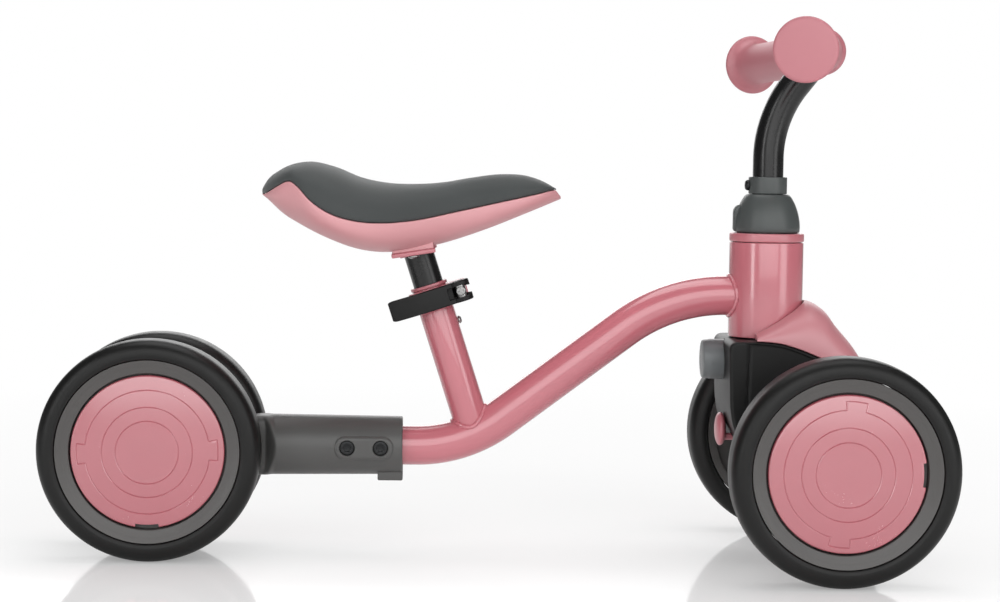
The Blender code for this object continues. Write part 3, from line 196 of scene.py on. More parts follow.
def skin(name, *grids, sharp=38, around=True):
    """Mesh piece from grids of points (rows, columns, 3) in millimetres: quads join neighbouring rows and
    columns, the last column meets the first where it goes around, and equal points are merged."""
    points, quads, first = [], [], 0
    for grid in grids:
        rows, columns = grid.shape[:2]
        row, column = np.meshgrid(np.arange(rows - 1), np.arange(columns - (not around)), indexing="ij")
        here, beside = first + row * columns + column, first + row * columns + (column + 1) % columns
        quads.append(np.stack([here, beside, beside + columns, here + columns], -1).reshape(-1, 4))
        points.append(grid.reshape(-1, 3) * MM)
        first += rows * columns
    mesh = bpy.data.meshes.new(name)
    mesh.from_pydata(np.concatenate(points).tolist(), [], np.concatenate(quads).tolist())
    piece = bpy.data.objects.new(name, mesh)
    bpy.context.scene.collection.objects.link(piece)
    return smoothed(piece, sharp)


def smoothed(piece, sharp):
    """Merges equal points, turns the faces outwards and shades the piece smooth up to the sharp angle."""
    work = bmesh.new()
    work.from_mesh(piece.data)
    bmesh.ops.remove_doubles(work, verts=work.verts, dist=2e-7)
    bmesh.ops.dissolve_degenerate(work, edges=work.edges, dist=1e-8)
    bmesh.ops.recalc_face_normals(work, faces=work.faces)
    work.to_mesh(piece.data)
    work.free()
    piece.data.shade_smooth()
    piece.data.set_sharp_from_angle(angle=math.radians(sharp))
    return piece


def finished(piece, material, body, slot, *nodes):
    """Gives a piece its material and the body it moves with, and hides the CAD nodes it stands for. The finish slot
    is not used.
    """
    piece.data.materials.clear()
    piece.data.materials.append(material)
    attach(piece, body)
    if nodes:
        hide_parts(*nodes)
    return piece


pink_enamel = enamel("pink_enamel", PINK_ENAMEL, 0.24, 0.010)
main_line = main_tube_line()
around = np.linspace(0, 2 * math.pi, 97)
crest_height = main_line[-1][2]
across, up = TUBE_RADIUS * np.cos(around), TUBE_RADIUS * np.sin(around)
bead_out = np.sqrt(HEAD_RADIUS ** 2 - across ** 2) + BEAD_PROUD
head_bead = np.stack([STEER_X - bead_out, across, crest_height + up], -1)
bead_ripple = BEAD_RADIUS * (1 + RIPPLE * np.sin(around * RIPPLES))[:, None, None]
tube_main = skin("main_tube_coated", ended(carried(main_line, circle(TUBE_RADIUS, 72))),
                 carried(head_bead, circle(1.0, 12) * bead_ripple, (1, 0, 0)))
finished(tube_main, pink_enamel, "frame", "frame_paint", "main_tube")


# ---- seat tube ----
# Straight steel tube of 22.6 mm, leaning 18 degrees back, mitred over the main tube and welded to it.
# Its top is slit so that the clamp can close it on the post.

SEAT_ANGLE = math.radians(18)
SEAT_FOOT = np.array([-7.3, 0.0, 78.0])
SEAT_AXIS = np.array([-math.sin(SEAT_ANGLE), 0.0, math.cos(SEAT_ANGLE)])
SEAT_FORWARD = np.array([math.cos(SEAT_ANGLE), 0.0, math.sin(SEAT_ANGLE)])
SEAT_TUBE_RADIUS = 11.3
SEAT_TUBE_BORE = 10.5
SEAT_TUBE_TOP = 99.0
SLIT_DEPTH = 21.0
SLIT_WIDTH = 2.0
BEAD_SEAT = 0.2


def softened(corners, radius, steps=6, closed=False):
    """Outline with its corners rounded: each becomes a curve (1-t)^2 A + 2t(1-t) corner + t^2 B, where A
    and B lie on the two edges at the given radius from the corner, or at 45 % of a shorter edge."""
    corners = np.asarray(corners, float)
    before, after = np.roll(corners, 1, 0) - corners, np.roll(corners, -1, 0) - corners
    sizes = [np.linalg.norm(edge, axis=1, keepdims=True) + 1e-12 for edge in (before, after)]
    start, end = (corners + edge / size * np.minimum(radius, 0.45 * size)
                  for edge, size in zip((before, after), sizes))
    t = np.linspace(0, 1, steps)[None, :, None]
    curve = (1 - t) ** 2 * start[:, None] + 2 * t * (1 - t) * corners[:, None] + t ** 2 * end[:, None]
    if closed:
        return curve.reshape(-1, corners.shape[1])
    return np.concatenate([corners[:1], curve[1:-1].reshape(-1, corners.shape[1]), corners[-1:]])


def spokes(angles, first, second):
    """Directions all round: cosine of each angle along the first direction, sine along the second."""
    first, second = np.asarray(first, float), np.asarray(second, float)
    return np.cos(angles)[:, None] * first + np.sin(angles)[:, None] * second


def turned(profile, centre, axis=(0, 0, 1), start=(1, 0, 0), sides=96, angles=None):
    """Grid of a profile of (radius, height) pairs turned about an axis: each point is the centre plus
    the height along the axis plus the radius along its spoke. A profile may differ from angle to angle."""
    angles = np.arange(sides) * 2 * math.pi / sides if angles is None else angles
    profile, axis = np.asarray(profile, float), np.asarray(axis, float)
    if profile.ndim == 2:
        profile = profile[:, None]
    ring = spokes(angles, start, np.cross(axis, start))
    return np.asarray(centre, float) + profile[..., :1] * ring + profile[..., 1:] * axis


def about_seat(profile, sides=72):
    """Grid of a profile turned about the line of the seat tube."""
    return turned(profile, SEAT_FOOT, SEAT_AXIS, SEAT_FORWARD, sides)


def about_steerer(profile, sides=96):
    """Grid of a profile turned about the upright line that the steering turns on."""
    return turned(profile, (STEER_X, 0, 0), sides=sides)


def rod(radius, low, high):
    """Profile of a plain round rod."""
    return [(0, low), (radius, low), (radius, high), (0, high)]


def hoop(corners, radius, steps=5):
    """Closed profile with rounded corners, its first point repeated at its end."""
    outline = softened(corners, radius, steps, closed=True)
    return np.concatenate([outline, outline[:1]])


def reshaped(piece, tool, operation="DIFFERENCE", sharp=38):
    """Cuts a tool's shape from a piece, or adds it, and removes the tool."""
    step = piece.modifiers.new("step", "BOOLEAN")
    step.operation, step.solver, step.object = operation, "EXACT", tool
    made = bpy.data.meshes.new_from_object(piece.evaluated_get(bpy.context.evaluated_depsgraph_get()))
    piece.modifiers.clear()
    piece.data = made
    bpy.data.objects.remove(tool)
    return smoothed(piece, sharp)


def block(name, low, high, rounding, origin=(0, 0, 0), axes=np.eye(3)):
    """Box with rounded long edges: a rounded outline in the first two axes carried along the third,
    drawn in by the rounding at both ends."""
    (x0, y0, z0), (x1, y1, z1) = low, high
    corners = np.array([(x0, y0), (x1, y0), (x1, y1), (x0, y1)], float)
    outline = softened(corners, rounding, 5, closed=True)
    inner = softened(corners + rounding * np.array([(1, 1), (-1, 1), (-1, -1), (1, -1)]), 0.01, 5, closed=True)
    turn = np.linspace(0, math.pi / 2, 5)
    part = np.concatenate([np.sin(turn), np.sin(turn)[::-1]])
    drawn = rounding * (1 - np.cos(turn))
    level = np.concatenate([z0 + drawn, z1 - drawn[::-1]])
    flat = inner + (outline - inner) * part[:, None, None]
    solid = np.concatenate([flat, np.broadcast_to(level[:, None, None], (len(level), flat.shape[1], 1))], -1)
    return skin(name, ended(np.asarray(origin, float) + solid @ np.asarray(axes, float)))


def foot_levels(angle, radius, reach):
    """Distance along the seat axis at which lines on a cylinder about it leave the main tube, found by
    halving: a level is too low while its nearest distance to the centre line is under the reach."""
    low, high = np.zeros_like(angle), np.full_like(angle, 60.0)
    offset = radius * spokes(angle, SEAT_FORWARD, (0, 1, 0))
    part, given = np.linspace(0, 1, 900), np.linspace(0, 1, len(main_line))
    fine = np.stack([np.interp(part, given, main_line[:, k]) for k in range(3)], -1)
    for _ in range(18):
        level = (low + high) / 2
        point = SEAT_FOOT + offset + level[:, None] * SEAT_AXIS
        inside = np.linalg.norm(point[:, None] - fine[None], axis=2).min(1) < reach
        low, high = np.where(inside, level, low), np.where(inside, high, level)
    return (low + high) / 2


seat_profile = hoop([(SEAT_TUBE_BORE, 2.0), (SEAT_TUBE_RADIUS, 2.0), (SEAT_TUBE_RADIUS, SEAT_TUBE_TOP),
                     (SEAT_TUBE_BORE, SEAT_TUBE_TOP)], 0.3, 3)
tube_seat = skin("seat_tube_coated", about_seat(seat_profile))
seat_axes = (SEAT_FORWARD, (0, 1, 0), SEAT_AXIS)
slit_low = (0.0, -SLIT_WIDTH / 2, SEAT_TUBE_TOP - SLIT_DEPTH)
slit_high = (20.0, SLIT_WIDTH / 2, SEAT_TUBE_TOP + 6)
reshaped(tube_seat, block("slit", slit_low, slit_high, 0.9, SEAT_FOOT, seat_axes))
bead_reach = SEAT_TUBE_RADIUS + BEAD_SEAT
levels = foot_levels(around, bead_reach, TUBE_RADIUS + BEAD_SEAT)
seat_bead_line = SEAT_FOOT + bead_reach * spokes(around, SEAT_FORWARD, (0, 1, 0)) + levels[:, None] * SEAT_AXIS
seat_bead = skin("seat_tube_bead", carried(seat_bead_line, circle(1.0, 12) * bead_ripple * 0.9, SEAT_AXIS))
finished(tube_seat, pink_enamel, "frame", "frame_paint", "seat_tube")
finished(seat_bead, pink_enamel, "frame", "frame_paint")


# ---- guide screw ----
# Small zinc-plated cross-head screw in the front of the seat tube. Its tip runs in the keyway of the
# post, so that the saddle can't turn.

GUIDE_LEVEL = 73.9
GUIDE_HEAD_RADIUS = 2.6
STEEL = (0.34, 0.34, 0.335)


def plated(name, colour, roughness, wear):
    """Zinc-plated steel: fine turning marks in the gloss and a slightly cloudy coat."""
    metal = Recipe(name, metallic=1.0)
    metal.tinted(colour, metal.noise(3.0, 3.0), 1 - wear, 1 + wear)
    metal.rough(roughness + metal.noise(0.6, 3.0) * 0.14)
    metal.relief(metal.noise(0.35, 3.0), 0.006)
    return metal.material


def cross_recess(name, centre, axis, up, span, width, depth):
    """Tool for the cross-shaped recess of a screw head: two slim blocks that meet at its middle."""
    axis, up = np.asarray(axis, float), np.asarray(up, float)
    axes = (up, np.cross(axis, up), axis)
    bars = [block(f"{name}_{k}", (-a, -b, -depth), (a, b, 3.0), 0.12, centre, axes)
            for k, (a, b) in enumerate(((span, width), (width, span)))]
    return reshaped(bars[0], bars[1], "UNION")


def cross_screw(name, profile, centre, axis, up, face, recess, sides=40):
    """Screw turned from its profile, with a cross recess of the given span, width and depth in the face."""
    screw = skin(name, turned(profile, centre, axis, up, sides))
    middle = np.asarray(centre, float) + face * np.asarray(axis, float)
    return reshaped(screw, cross_recess(f"{name}_cross", middle, axis, up, *recess))


plated_steel = plated("zinc_plated_steel", STEEL, 0.24, 0.10)
guide_face = SEAT_TUBE_RADIUS + 0.3
guide_head = [(0, guide_face - 2.2), (1.6, guide_face - 2.2), (1.6, guide_face), (GUIDE_HEAD_RADIUS, guide_face),
              (GUIDE_HEAD_RADIUS, guide_face + 0.9), (1.7, guide_face + 1.9), (0, guide_face + 2.2)]
guide_centre = SEAT_FOOT + GUIDE_LEVEL * SEAT_AXIS
guide = cross_screw("guide_screw_plated", softened(guide_head, 0.4), guide_centre, SEAT_FORWARD, (0, 1, 0),
                    guide_face + 1.9, (1.5, 0.35, 1.0))
finished(guide, plated_steel, "frame", "steel", "guide_screw")


# ---- post bush ----
# Split plastic bush between seat tube and post. Only its flange shows, as a pink ring on the tube.

BUSH_FLANGE_RADIUS = 12.0
BUSH_FLANGE = (99.3, 101.4)
BUSH_LENGTH, BUSH_PLAY = 12.0, 0.2
POST_RADIUS = 9.6
PINK_PLASTIC = (0.455, 0.128, 0.155)


def moulded(name, colour, roughness, grain, depth, tint=0.05, gloss=0.5, polish=0.0, ior=1.5):
    """Moulded plastic: a spark-eroded grain in the surface, soft flow clouds in colour and gloss."""
    plastic = Recipe(name, specular_ior_level=gloss, coat_weight=polish, coat_roughness=0.22, ior=ior)
    clouds = plastic.noise(26.0, 3.0)
    plastic.tinted(colour, clouds * 0.75 + plastic.noise(grain * 1.4) * 0.25, 1 - tint, 1 + tint)
    plastic.rough(roughness - 0.05 + clouds * 0.06 + plastic.noise(grain * 2, 2.0) * 0.05)
    if depth:
        plastic.relief(plastic.noise(grain, 3.0, 0.6) * 0.65 + plastic.cells(grain * 1.6) * 0.35, depth)
    return plastic.material


pink_plastic = moulded("pink_plastic_satin", PINK_PLASTIC, 0.38, 0.32, 0.016, gloss=1.0, polish=0.25)
low, high = BUSH_FLANGE
bush_bore, bush_wall = POST_RADIUS + BUSH_PLAY, SEAT_TUBE_BORE - 0.1
bush_profile = hoop([(bush_bore, low - BUSH_LENGTH), (bush_wall, low - BUSH_LENGTH), (bush_wall, low),
                     (BUSH_FLANGE_RADIUS, low), (BUSH_FLANGE_RADIUS, high), (bush_bore, high)], 0.5)
bush = skin("post_bush_flange", about_seat(bush_profile))
finished(bush, pink_plastic, "frame", "pink_plastic", "post_bush")


# ---- head tube ----
# Wide steel tube of 47.2 mm that the steerer turns in, powder-coated with the frame, with a pressed
# plastic cap on its top and plain nylon bushes inside.

HEAD_LOW, HEAD_HIGH = 143.5, 204.2
HEAD_BORE = 21.6
CAP_HIGH = 210.0
CAP_RADIUS = 23.85
CAP_LOW, CAP_BORE = HEAD_HIGH + 0.35, 16.6
head_profile = hoop([(HEAD_BORE, HEAD_LOW), (HEAD_RADIUS, HEAD_LOW), (HEAD_RADIUS, HEAD_HIGH),
                     (HEAD_BORE, HEAD_HIGH)], 0.55)
head = skin("head_tube_coated", about_steerer(head_profile, 128))
finished(head, pink_enamel, "frame", "frame_paint", "head_tube")
cap_profile = hoop([(CAP_BORE, CAP_LOW), (CAP_RADIUS, CAP_LOW), (CAP_RADIUS, CAP_HIGH), (CAP_BORE, CAP_HIGH)], 1.1, 8)
head_cap = skin("head_tube_cap_moulded", about_steerer(cap_profile, 128))
finished(head_cap, pink_plastic, "frame", "pink_plastic", "head_tube_cap")


# ---- rear housing ----
# Glass-filled nylon moulding that takes the main tube, narrows between the rear wheels and carries
# the axle. Two black socket screws in a raised long pad hold it to the tube.

WHEELBASE = 425.0
WHEEL_RADIUS = 70.0
REAR_X = -WHEELBASE / 2
REAR_TRACK = 59.3
WHEEL_HALF_WIDTH = 15.0
HOUSING_FRONT = -54.0
HOUSING_RADII = (19.35, 18.6)
WEB_HALF_WIDTH = 12.2
BOSS_RADIUS = 16.0
ARCH_RADIUS = 71.5
ARCH_FLARE = 7.5
PAD_LENGTH, PAD_HEIGHT, PAD_FACE = 37.0, 13.4, 19.7
PAD_STEPS = ((1.12, 8.0), (1.12, 18.2), (1.06, 18.7), (1.0, 19.1), (0.95, 19.4), (0.86, PAD_FACE - 0.08),
             (0.76, PAD_FACE), (0.0, PAD_FACE))
PAD_SCREWS = (-89.2, -68.0)
SCREW_HOLE = 4.8
LIP_IN, LIP_OUT = 0.9, 1.2
AXLE_BOSS_RADIUS = 14
WHEEL_GAP = 0.3
GREY_PLASTIC = (0.068, 0.068, 0.066)


def eased(value):
    """Smooth step: 3 v^2 - 2 v^3 of a value held between 0 and 1."""
    value = np.clip(value, 0, 1)
    return value * value * (3 - 2 * value)


def housing_grid(x, angle):
    """Housing skin over distance x and angle: a superellipse whose width goes from the narrow web to the
    full round section as x passes the wheel arch, a circle about the rear axle."""
    x, angle = x[:, None], angle[None]
    behind = np.clip(REAR_X - x, 0, BOSS_RADIUS - 0.03)
    taper = eased((x - REAR_X) / 78)
    front = np.clip((x + 134) / (HOUSING_FRONT + 134), 0, 1)
    half = np.sqrt(BOSS_RADIUS ** 2 - behind ** 2) + (HOUSING_RADII[0] - BOSS_RADIUS) * taper
    half = half + (HOUSING_RADII[1] - HOUSING_RADII[0]) * front
    arch = REAR_X + np.sqrt(ARCH_RADIUS ** 2 - (HOUSING_RADII[0] * np.sin(angle)) ** 2)
    open_part = eased((x - arch) / ARCH_FLARE) ** 0.7
    power = 2 / (5.0 - 3.0 * open_part)
    width = WEB_HALF_WIDTH + (half - WEB_HALF_WIDTH) * open_part
    cosine, sine = np.cos(angle), np.sin(angle)
    middle = WHEEL_RADIUS + (TUBE_HEIGHT - WHEEL_RADIUS) * taper
    return np.stack([x + 0 * angle, width * np.sign(cosine) * np.abs(cosine) ** power,
                     middle + half * np.sign(sine) * np.abs(sine) ** power], -1)


def obround(middle, length, height, sides=28):
    """Outline (x, z) of a long pad with round ends: two half circles about its end centres."""
    reach = (length - height) / 2
    right = arc((middle + reach, TUBE_HEIGHT), height / 2, -math.pi / 2, math.pi / 2, sides)
    left = arc((middle - reach, TUBE_HEIGHT), height / 2, math.pi / 2, 3 * math.pi / 2, sides)
    return np.concatenate([right, left])


def axle_boss(name, x, track, sides):
    """Round cross boss about an axle, which ends a gap short of the wheels on both sides."""
    face = track / 2 - WHEEL_HALF_WIDTH - WHEEL_GAP
    profile = softened(rod(AXLE_BOSS_RADIUS, -face, face), 0.8)
    return skin(name, turned(profile, (x, 0, WHEEL_RADIUS), (0, 1, 0), sides=sides))


grey_plastic = moulded("grey_plastic_satin", GREY_PLASTIC, 0.40, 0.45, 0.022, 0.07)
housing_x = np.unique(np.concatenate([
    REAR_X - BOSS_RADIUS * np.cos(np.linspace(0, math.pi / 2, 20)), np.linspace(REAR_X, -150, 16),
    np.linspace(-150, -130, 40), np.linspace(-130, HOUSING_FRONT - LIP_OUT, 30)]))
body_grid = housing_grid(housing_x, np.arange(120) * 2 * math.pi / 120)
lip = np.linspace(0, math.pi / 2, 6)[1:, None, None]
front_middle = np.array([housing_x[-1], 0, TUBE_HEIGHT])
lip_size = 1 - LIP_IN * (1 - np.cos(lip)) / HOUSING_RADII[1]
lip_rows = front_middle + (body_grid[-1] - front_middle) * lip_size + LIP_OUT * np.sin(lip) * np.array([1, 0, 0])
housing = skin("rear_housing_moulded", ended(np.concatenate([body_grid, lip_rows])))
reshaped(housing, axle_boss("boss", REAR_X, REAR_TRACK, 64), "UNION")
pad_middle, pad_run = sum(PAD_SCREWS) / 2, (PAD_LENGTH - PAD_HEIGHT) / 2
outline = obround(pad_middle, PAD_LENGTH, PAD_HEIGHT)
spine_x = np.clip(outline[:, 0], pad_middle - pad_run, pad_middle + pad_run)
spine = np.stack([spine_x, 0 * spine_x + TUBE_HEIGHT], -1)
size, level = np.array(PAD_STEPS).T[..., None]
flat = spine + (outline - spine) * size[..., None]
hole_profile = [(0, 13.0), (SCREW_HOLE, 13.0), (SCREW_HOLE, PAD_FACE - 0.5), (SCREW_HOLE + 0.9, PAD_FACE + 0.4),
                (SCREW_HOLE + 0.9, 24), (0, 24)]
for side in (-1, 1):
    pad_grid = np.stack([flat[..., 0], side * level + 0 * flat[..., 0], flat[..., 1]], -1)
    reshaped(housing, skin("pad", ended(pad_grid)), "UNION")
    for x in PAD_SCREWS:
        reshaped(housing, skin("hole", turned(hole_profile, (x, 0, TUBE_HEIGHT), (0, side, 0), sides=48)))
reshaped(housing, block("foot", (HOUSING_FRONT - 15.8, -8.5, 48.6), (HOUSING_FRONT + 0.3, 8.5, 58.0), 1.1), "UNION")
finished(housing, grey_plastic, "frame", "grey_plastic", "rear_housing")


# ---- housing screws ----
# Black-oxide socket screws through housing and tube, with sleeve nuts on the other side. Their heads
# lie a little below the pad.

SCREW_HEAD_RADIUS = 4.45
SCREW_SINK = 0.9
SOCKET_RADIUS = 2.3
BLACK_SCREW = (0.018, 0.019, 0.020)


def blackened(name, colour, roughness):
    """Black oxide on steel: dark, half metallic, with a fine matt tooth."""
    metal = Recipe(name, metallic=0.6)
    metal.tinted(colour, metal.noise(1.6, 3.0), 0.8, 1.3)
    metal.rough(roughness + metal.noise(0.5, 3.0) * 0.15)
    metal.relief(metal.noise(0.3, 3.0), 0.008)
    return metal.material


black_oxide = blackened("black_oxide_screw", BLACK_SCREW, 0.30)
six = np.arange(48) * 2 * math.pi / 48
hexagon = math.cos(math.pi / 6) / np.cos((six % (math.pi / 3)) - math.pi / 6)
face = PAD_FACE - SCREW_SINK
rim = SCREW_HEAD_RADIUS
profile = np.array([(0, 14.5), (rim, 14.5), (rim, face - 0.5), (rim - 0.15, face - 0.15), (rim - 0.5, face),
                    (SOCKET_RADIUS + 0.35, face), (SOCKET_RADIUS, face - 0.3), (SOCKET_RADIUS, face - 2.2),
                    (0, face - 2.6)])
for number, x in enumerate(PAD_SCREWS, 1):
    for side, node in ((-1, f"housing_screw_{number}"), (1, f"housing_nut_{number}")):
        grid = turned(profile, (0, 0, 0), (0, side, 0), angles=six)
        grid[6:8, :, 0::2] *= hexagon[None, :, None] * 1.08
        screw = skin(f"{node}_black", grid + np.array([x, 0, TUBE_HEIGHT]))
        finished(screw, black_oxide, "frame", "black_screw", node)


# ---- wheels ----
# Four wheels of 140 mm: a foam tyre pressed on a grey moulded rim, with a domed pink cap snapped into
# the rim. The cap has three engraved rings, the outer with two tabs, and a notch to prise it off.

FRONT_X = WHEELBASE / 2
FRONT_TRACK = 206.4
RIM_RADIUS = 57.4
RECESS_RADIUS = 49.0
HUBCAP_RADIUS = 47.8
HUBCAP_CROWN, HUBCAP_EDGE = 14.6, 11.6
RING_LINES = (0.41, 0.59, 0.81)
TAB_RADIUS = 0.92
TAB_HALF_ANGLE = math.radians(8.6)
TAB_SPREAD = np.array([-0.010, -0.005, 0, 0.005, 0.010])
LINE_HALF_WIDTH = 0.40
LINE_DEPTH = 0.30
LINE_SPREAD = np.array([-1.2, -1, -0.5, 0, 0.5, 1, 1.2])
CAP_ROUND = 1.2
NOTCH_HALF_ANGLE = math.radians(9.0)
NOTCH_DEPTH = 2.2
TYRE_FOAM = (0.0036, 0.0036, 0.0034)
# The caps' pink is a darker copy of the pink plastic: painted shade, so that the lower half of each domed cap renders
# darker.
CAP_PINK_PAINTED_SHADE = (0.395, 0.085, 0.110)
RIM_GREY = (0.066, 0.063, 0.061)


def foam_rubber(name):
    """Moulded foam tyre: a closed satin skin with a fine tooth and faint cloudy patches."""
    foam = Recipe(name, specular_ior_level=0.32)
    foam.tinted(TYRE_FOAM, foam.noise(9.0, 4.0) * 0.7 + foam.noise(0.4) * 0.3, 0.75, 1.35)
    foam.rough(0.36 + foam.noise(7.0, 3.0) * 0.12)
    foam.relief(foam.noise(0.55, 4.0, 0.6) * 0.7 + foam.noise(3.5, 2.0) * 0.3, 0.020)
    return foam.material


def tyre_profile():
    """Tyre section: sides flat near the bead, shoulders a superellipse quarter of power 2.3, and a tread
    slightly crowned by a cosine."""
    turn = np.linspace(0, math.pi / 2, 22)
    shoulder = np.stack([60.6 + 9.2 * np.sin(turn) ** (2 / 2.3), 5.0 + 10.0 * np.cos(turn) ** (2 / 2.3)], -1)
    crown = np.linspace(-1, 1, 9)
    tread = np.stack([69.8 + 0.2 * np.cos(crown * math.pi / 2), -5.0 * crown], -1)[1:-1]
    bead = [(57.75, 10.0), (57.75, 13.5), (58.0, 14.2), (58.5, 14.55), (59.2, 14.65), (59.6, 14.9)]
    outer = np.concatenate([bead, shoulder])
    whole = np.concatenate([outer, tread, outer[::-1] * (1, -1)])
    return np.concatenate([whole, whole[:1]])


def apart(angle, mark):
    """Smallest turn between an angle and a mark: the difference brought between -pi and pi, unsigned."""
    return np.abs((angle - mark + math.pi) % (2 * math.pi) - math.pi)


def dome_height(radius):
    """Height of the cap's face: the crown less the drop to the edge times (radius / cap radius)^2.4."""
    return HUBCAP_CROWN - (HUBCAP_CROWN - HUBCAP_EDGE) * (radius / HUBCAP_RADIUS) ** 2.4


def hubcap_grid(notch, tabs):
    """Cap over radius and angle: a shallow dome, lowered along the engraved lines by a V of the distance to
    the line. The outer line steps from its ring out to the tab radius between a tab's two edges."""
    at_tabs = [tab + side * TAB_HALF_ANGLE + TAB_SPREAD for tab in tabs for side in (-1, 1)]
    at_notch = [notch + side * NOTCH_HALF_ANGLE + np.array([-1e-4, 1e-4]) for side in (-1, 1)]
    evenly = np.arange(180) * 2 * math.pi / 180 + 0.0031
    angle = np.sort(np.concatenate([evenly, *at_tabs, *at_notch]) % (2 * math.pi))
    lines = np.array([*RING_LINES, TAB_RADIUS]) * HUBCAP_RADIUS
    at_lines = (lines[:, None] + LINE_HALF_WIDTH * LINE_SPREAD).ravel()
    radius = np.unique(np.concatenate([np.linspace(0, HUBCAP_RADIUS - CAP_ROUND, 22), at_lines]))
    r, a = radius[:, None], angle[None]
    turn = np.min([apart(a, tab) for tab in tabs], axis=0)
    ring = np.where(turn < TAB_HALF_ANGLE + 1e-6, lines[3], lines[2])
    on_step = (r > lines[2] - 1e-6) & (r < lines[3] + 1e-6)
    step = np.where(on_step, np.abs(turn - TAB_HALF_ANGLE) * r, 9.0)
    rings = [np.abs(r - line) + 0 * a for line in (*lines[:2], ring)]
    groove = LINE_DEPTH * np.clip(1 - np.min([*rings, step], axis=0) / LINE_HALF_WIDTH, 0, 1)
    centre_dish = -0.28 * eased((lines[0] - r) / 3.0)
    face = np.stack([r + 0 * a, dome_height(r) - groove + centre_dish], -1)
    edge_turn = np.linspace(0, math.pi / 2, 6)[1:, None]
    edge_r = HUBCAP_RADIUS - CAP_ROUND + CAP_ROUND * np.sin(edge_turn)
    edge_z = dome_height(HUBCAP_RADIUS - CAP_ROUND) - CAP_ROUND * (1 - np.cos(edge_turn))
    edge = np.stack([edge_r + 0 * a, edge_z + 0 * a], -1)
    under = np.array([(HUBCAP_RADIUS, 5.4), (HUBCAP_RADIUS - 2.2, 5.4), (HUBCAP_RADIUS - 2.2, 9.0), (0, 11.5)])
    under = np.broadcast_to(under[:, None], (4, len(angle), 2))
    whole = np.concatenate([face, edge, under])
    cut = apart(angle, notch) < NOTCH_HALF_ANGLE
    whole[:-1, cut, 0] = np.minimum(whole[:-1, cut, 0], HUBCAP_RADIUS - NOTCH_DEPTH)
    return whole, angle


def rim_back(radius, angle):
    """Depth of the rim's inner face over radius and angle: a flat dish with eight moulded ribs."""
    rib = np.abs((angle * 8 / (2 * math.pi) + 0.5) % 1 - 0.5) * 2 * math.pi / 8 * radius
    inside = (radius > 14) & (radius < RECESS_RADIUS + 3)
    return np.where(inside, -1.0 - 8.0 * eased((2.2 - rib) / 0.9), -1.0)


RIB_SPREAD = np.array([-0.16, -0.12, -0.08, -0.05, -0.03, 0.03, 0.05, 0.08, 0.12, 0.16])
tyre_foam = foam_rubber("tyre_foam_skin")
rim_plastic = moulded("rim_plastic_satin", RIM_GREY, 0.36, 0.40, 0.018, 0.06)
# Cap material: the pink plastic darkened as painted shade on the domes, with a real higher gloss and IOR.
cap_plastic_painted_shade = moulded("pink_plastic_polished_painted_shade", CAP_PINK_PAINTED_SHADE, 0.25, 0.9, 0, gloss=1.0, polish=0.3, ior=1.7)
# Name, place of the wheel's middle (x, y), angle of the notch and angles of the tabs in degrees.
WHEELS = (("rear_right", REAR_X, -REAR_TRACK / 2, 270, (2, 182)),
          ("rear_left", REAR_X, REAR_TRACK / 2, 250, (70, 250)),
          ("front_right", FRONT_X, -FRONT_TRACK / 2, 0, (84, 264)),
          ("front_left", FRONT_X, FRONT_TRACK / 2, 40, (130, 310)))
rib_angle = (math.pi / 4 * np.arange(8)[:, None] + RIB_SPREAD).ravel()
rim_angle = np.sort(np.concatenate([np.arange(96) * math.pi / 48 + 0.011, rib_angle]) % (2 * math.pi))
rim_angle = rim_angle[np.diff(rim_angle, prepend=-1) > 0.004]
recess_back = RECESS_RADIUS + 3
rim_front = softened([(8.6, 5.9), (15, 5.9), (15, 5.0), (RECESS_RADIUS, 5.0), (RECESS_RADIUS, 11.0), (50.2, 11.35),
                      (53.5, 12.3), (RIM_RADIUS, 13.9), (RIM_RADIUS, -13.9), (recess_back, -12.0),
                      (recess_back, -1.0)], 0.55, 4)
rim_hub = softened([(15.2, -1.0), (15.0, -14.9), (8.6, -14.9), (8.6, 5.9)], 0.5, 4)
back_radius = np.linspace(recess_back - 0.1, 15.5, 14)[:, None] + 0 * rim_angle
back_rows = np.stack([back_radius, rim_back(back_radius, rim_angle[None])], -1)
for name, x, y, notch, tabs in WHEELS:
    body, centre, outward = f"wheel_{name}", (x, y, WHEEL_RADIUS), (0, math.copysign(1, y), 0)
    tyre = skin(f"tyre_{name}_foam", turned(tyre_profile(), centre, outward, sides=144))
    finished(tyre, tyre_foam, body, "tyre_foam", f"tyre_{name}")
    rim_grids = [turned(rows, centre, outward, angles=rim_angle) for rows in (rim_front, back_rows, rim_hub)]
    rim = skin(f"rim_{name}_moulded", np.concatenate(rim_grids))
    finished(rim, rim_plastic, body, "rim_plastic", f"rim_{name}")
    flat, cap_angle = hubcap_grid(math.radians(notch), [math.radians(tab) for tab in tabs])
    cap_grid = centre + flat[..., :1] * spokes(cap_angle, (1, 0, 0), (0, 0, 1)) + flat[..., 1:] * np.array(outward)
    hubcap = skin(f"hubcap_{name}_domed", cap_grid, sharp=30)
    finished(hubcap, cap_plastic_painted_shade, body, "pink_plastic", f"hubcap_{name}")


# ---- seat post ----
# Steel post in gloss black, with a keyway pressed along its front for the guide screw.

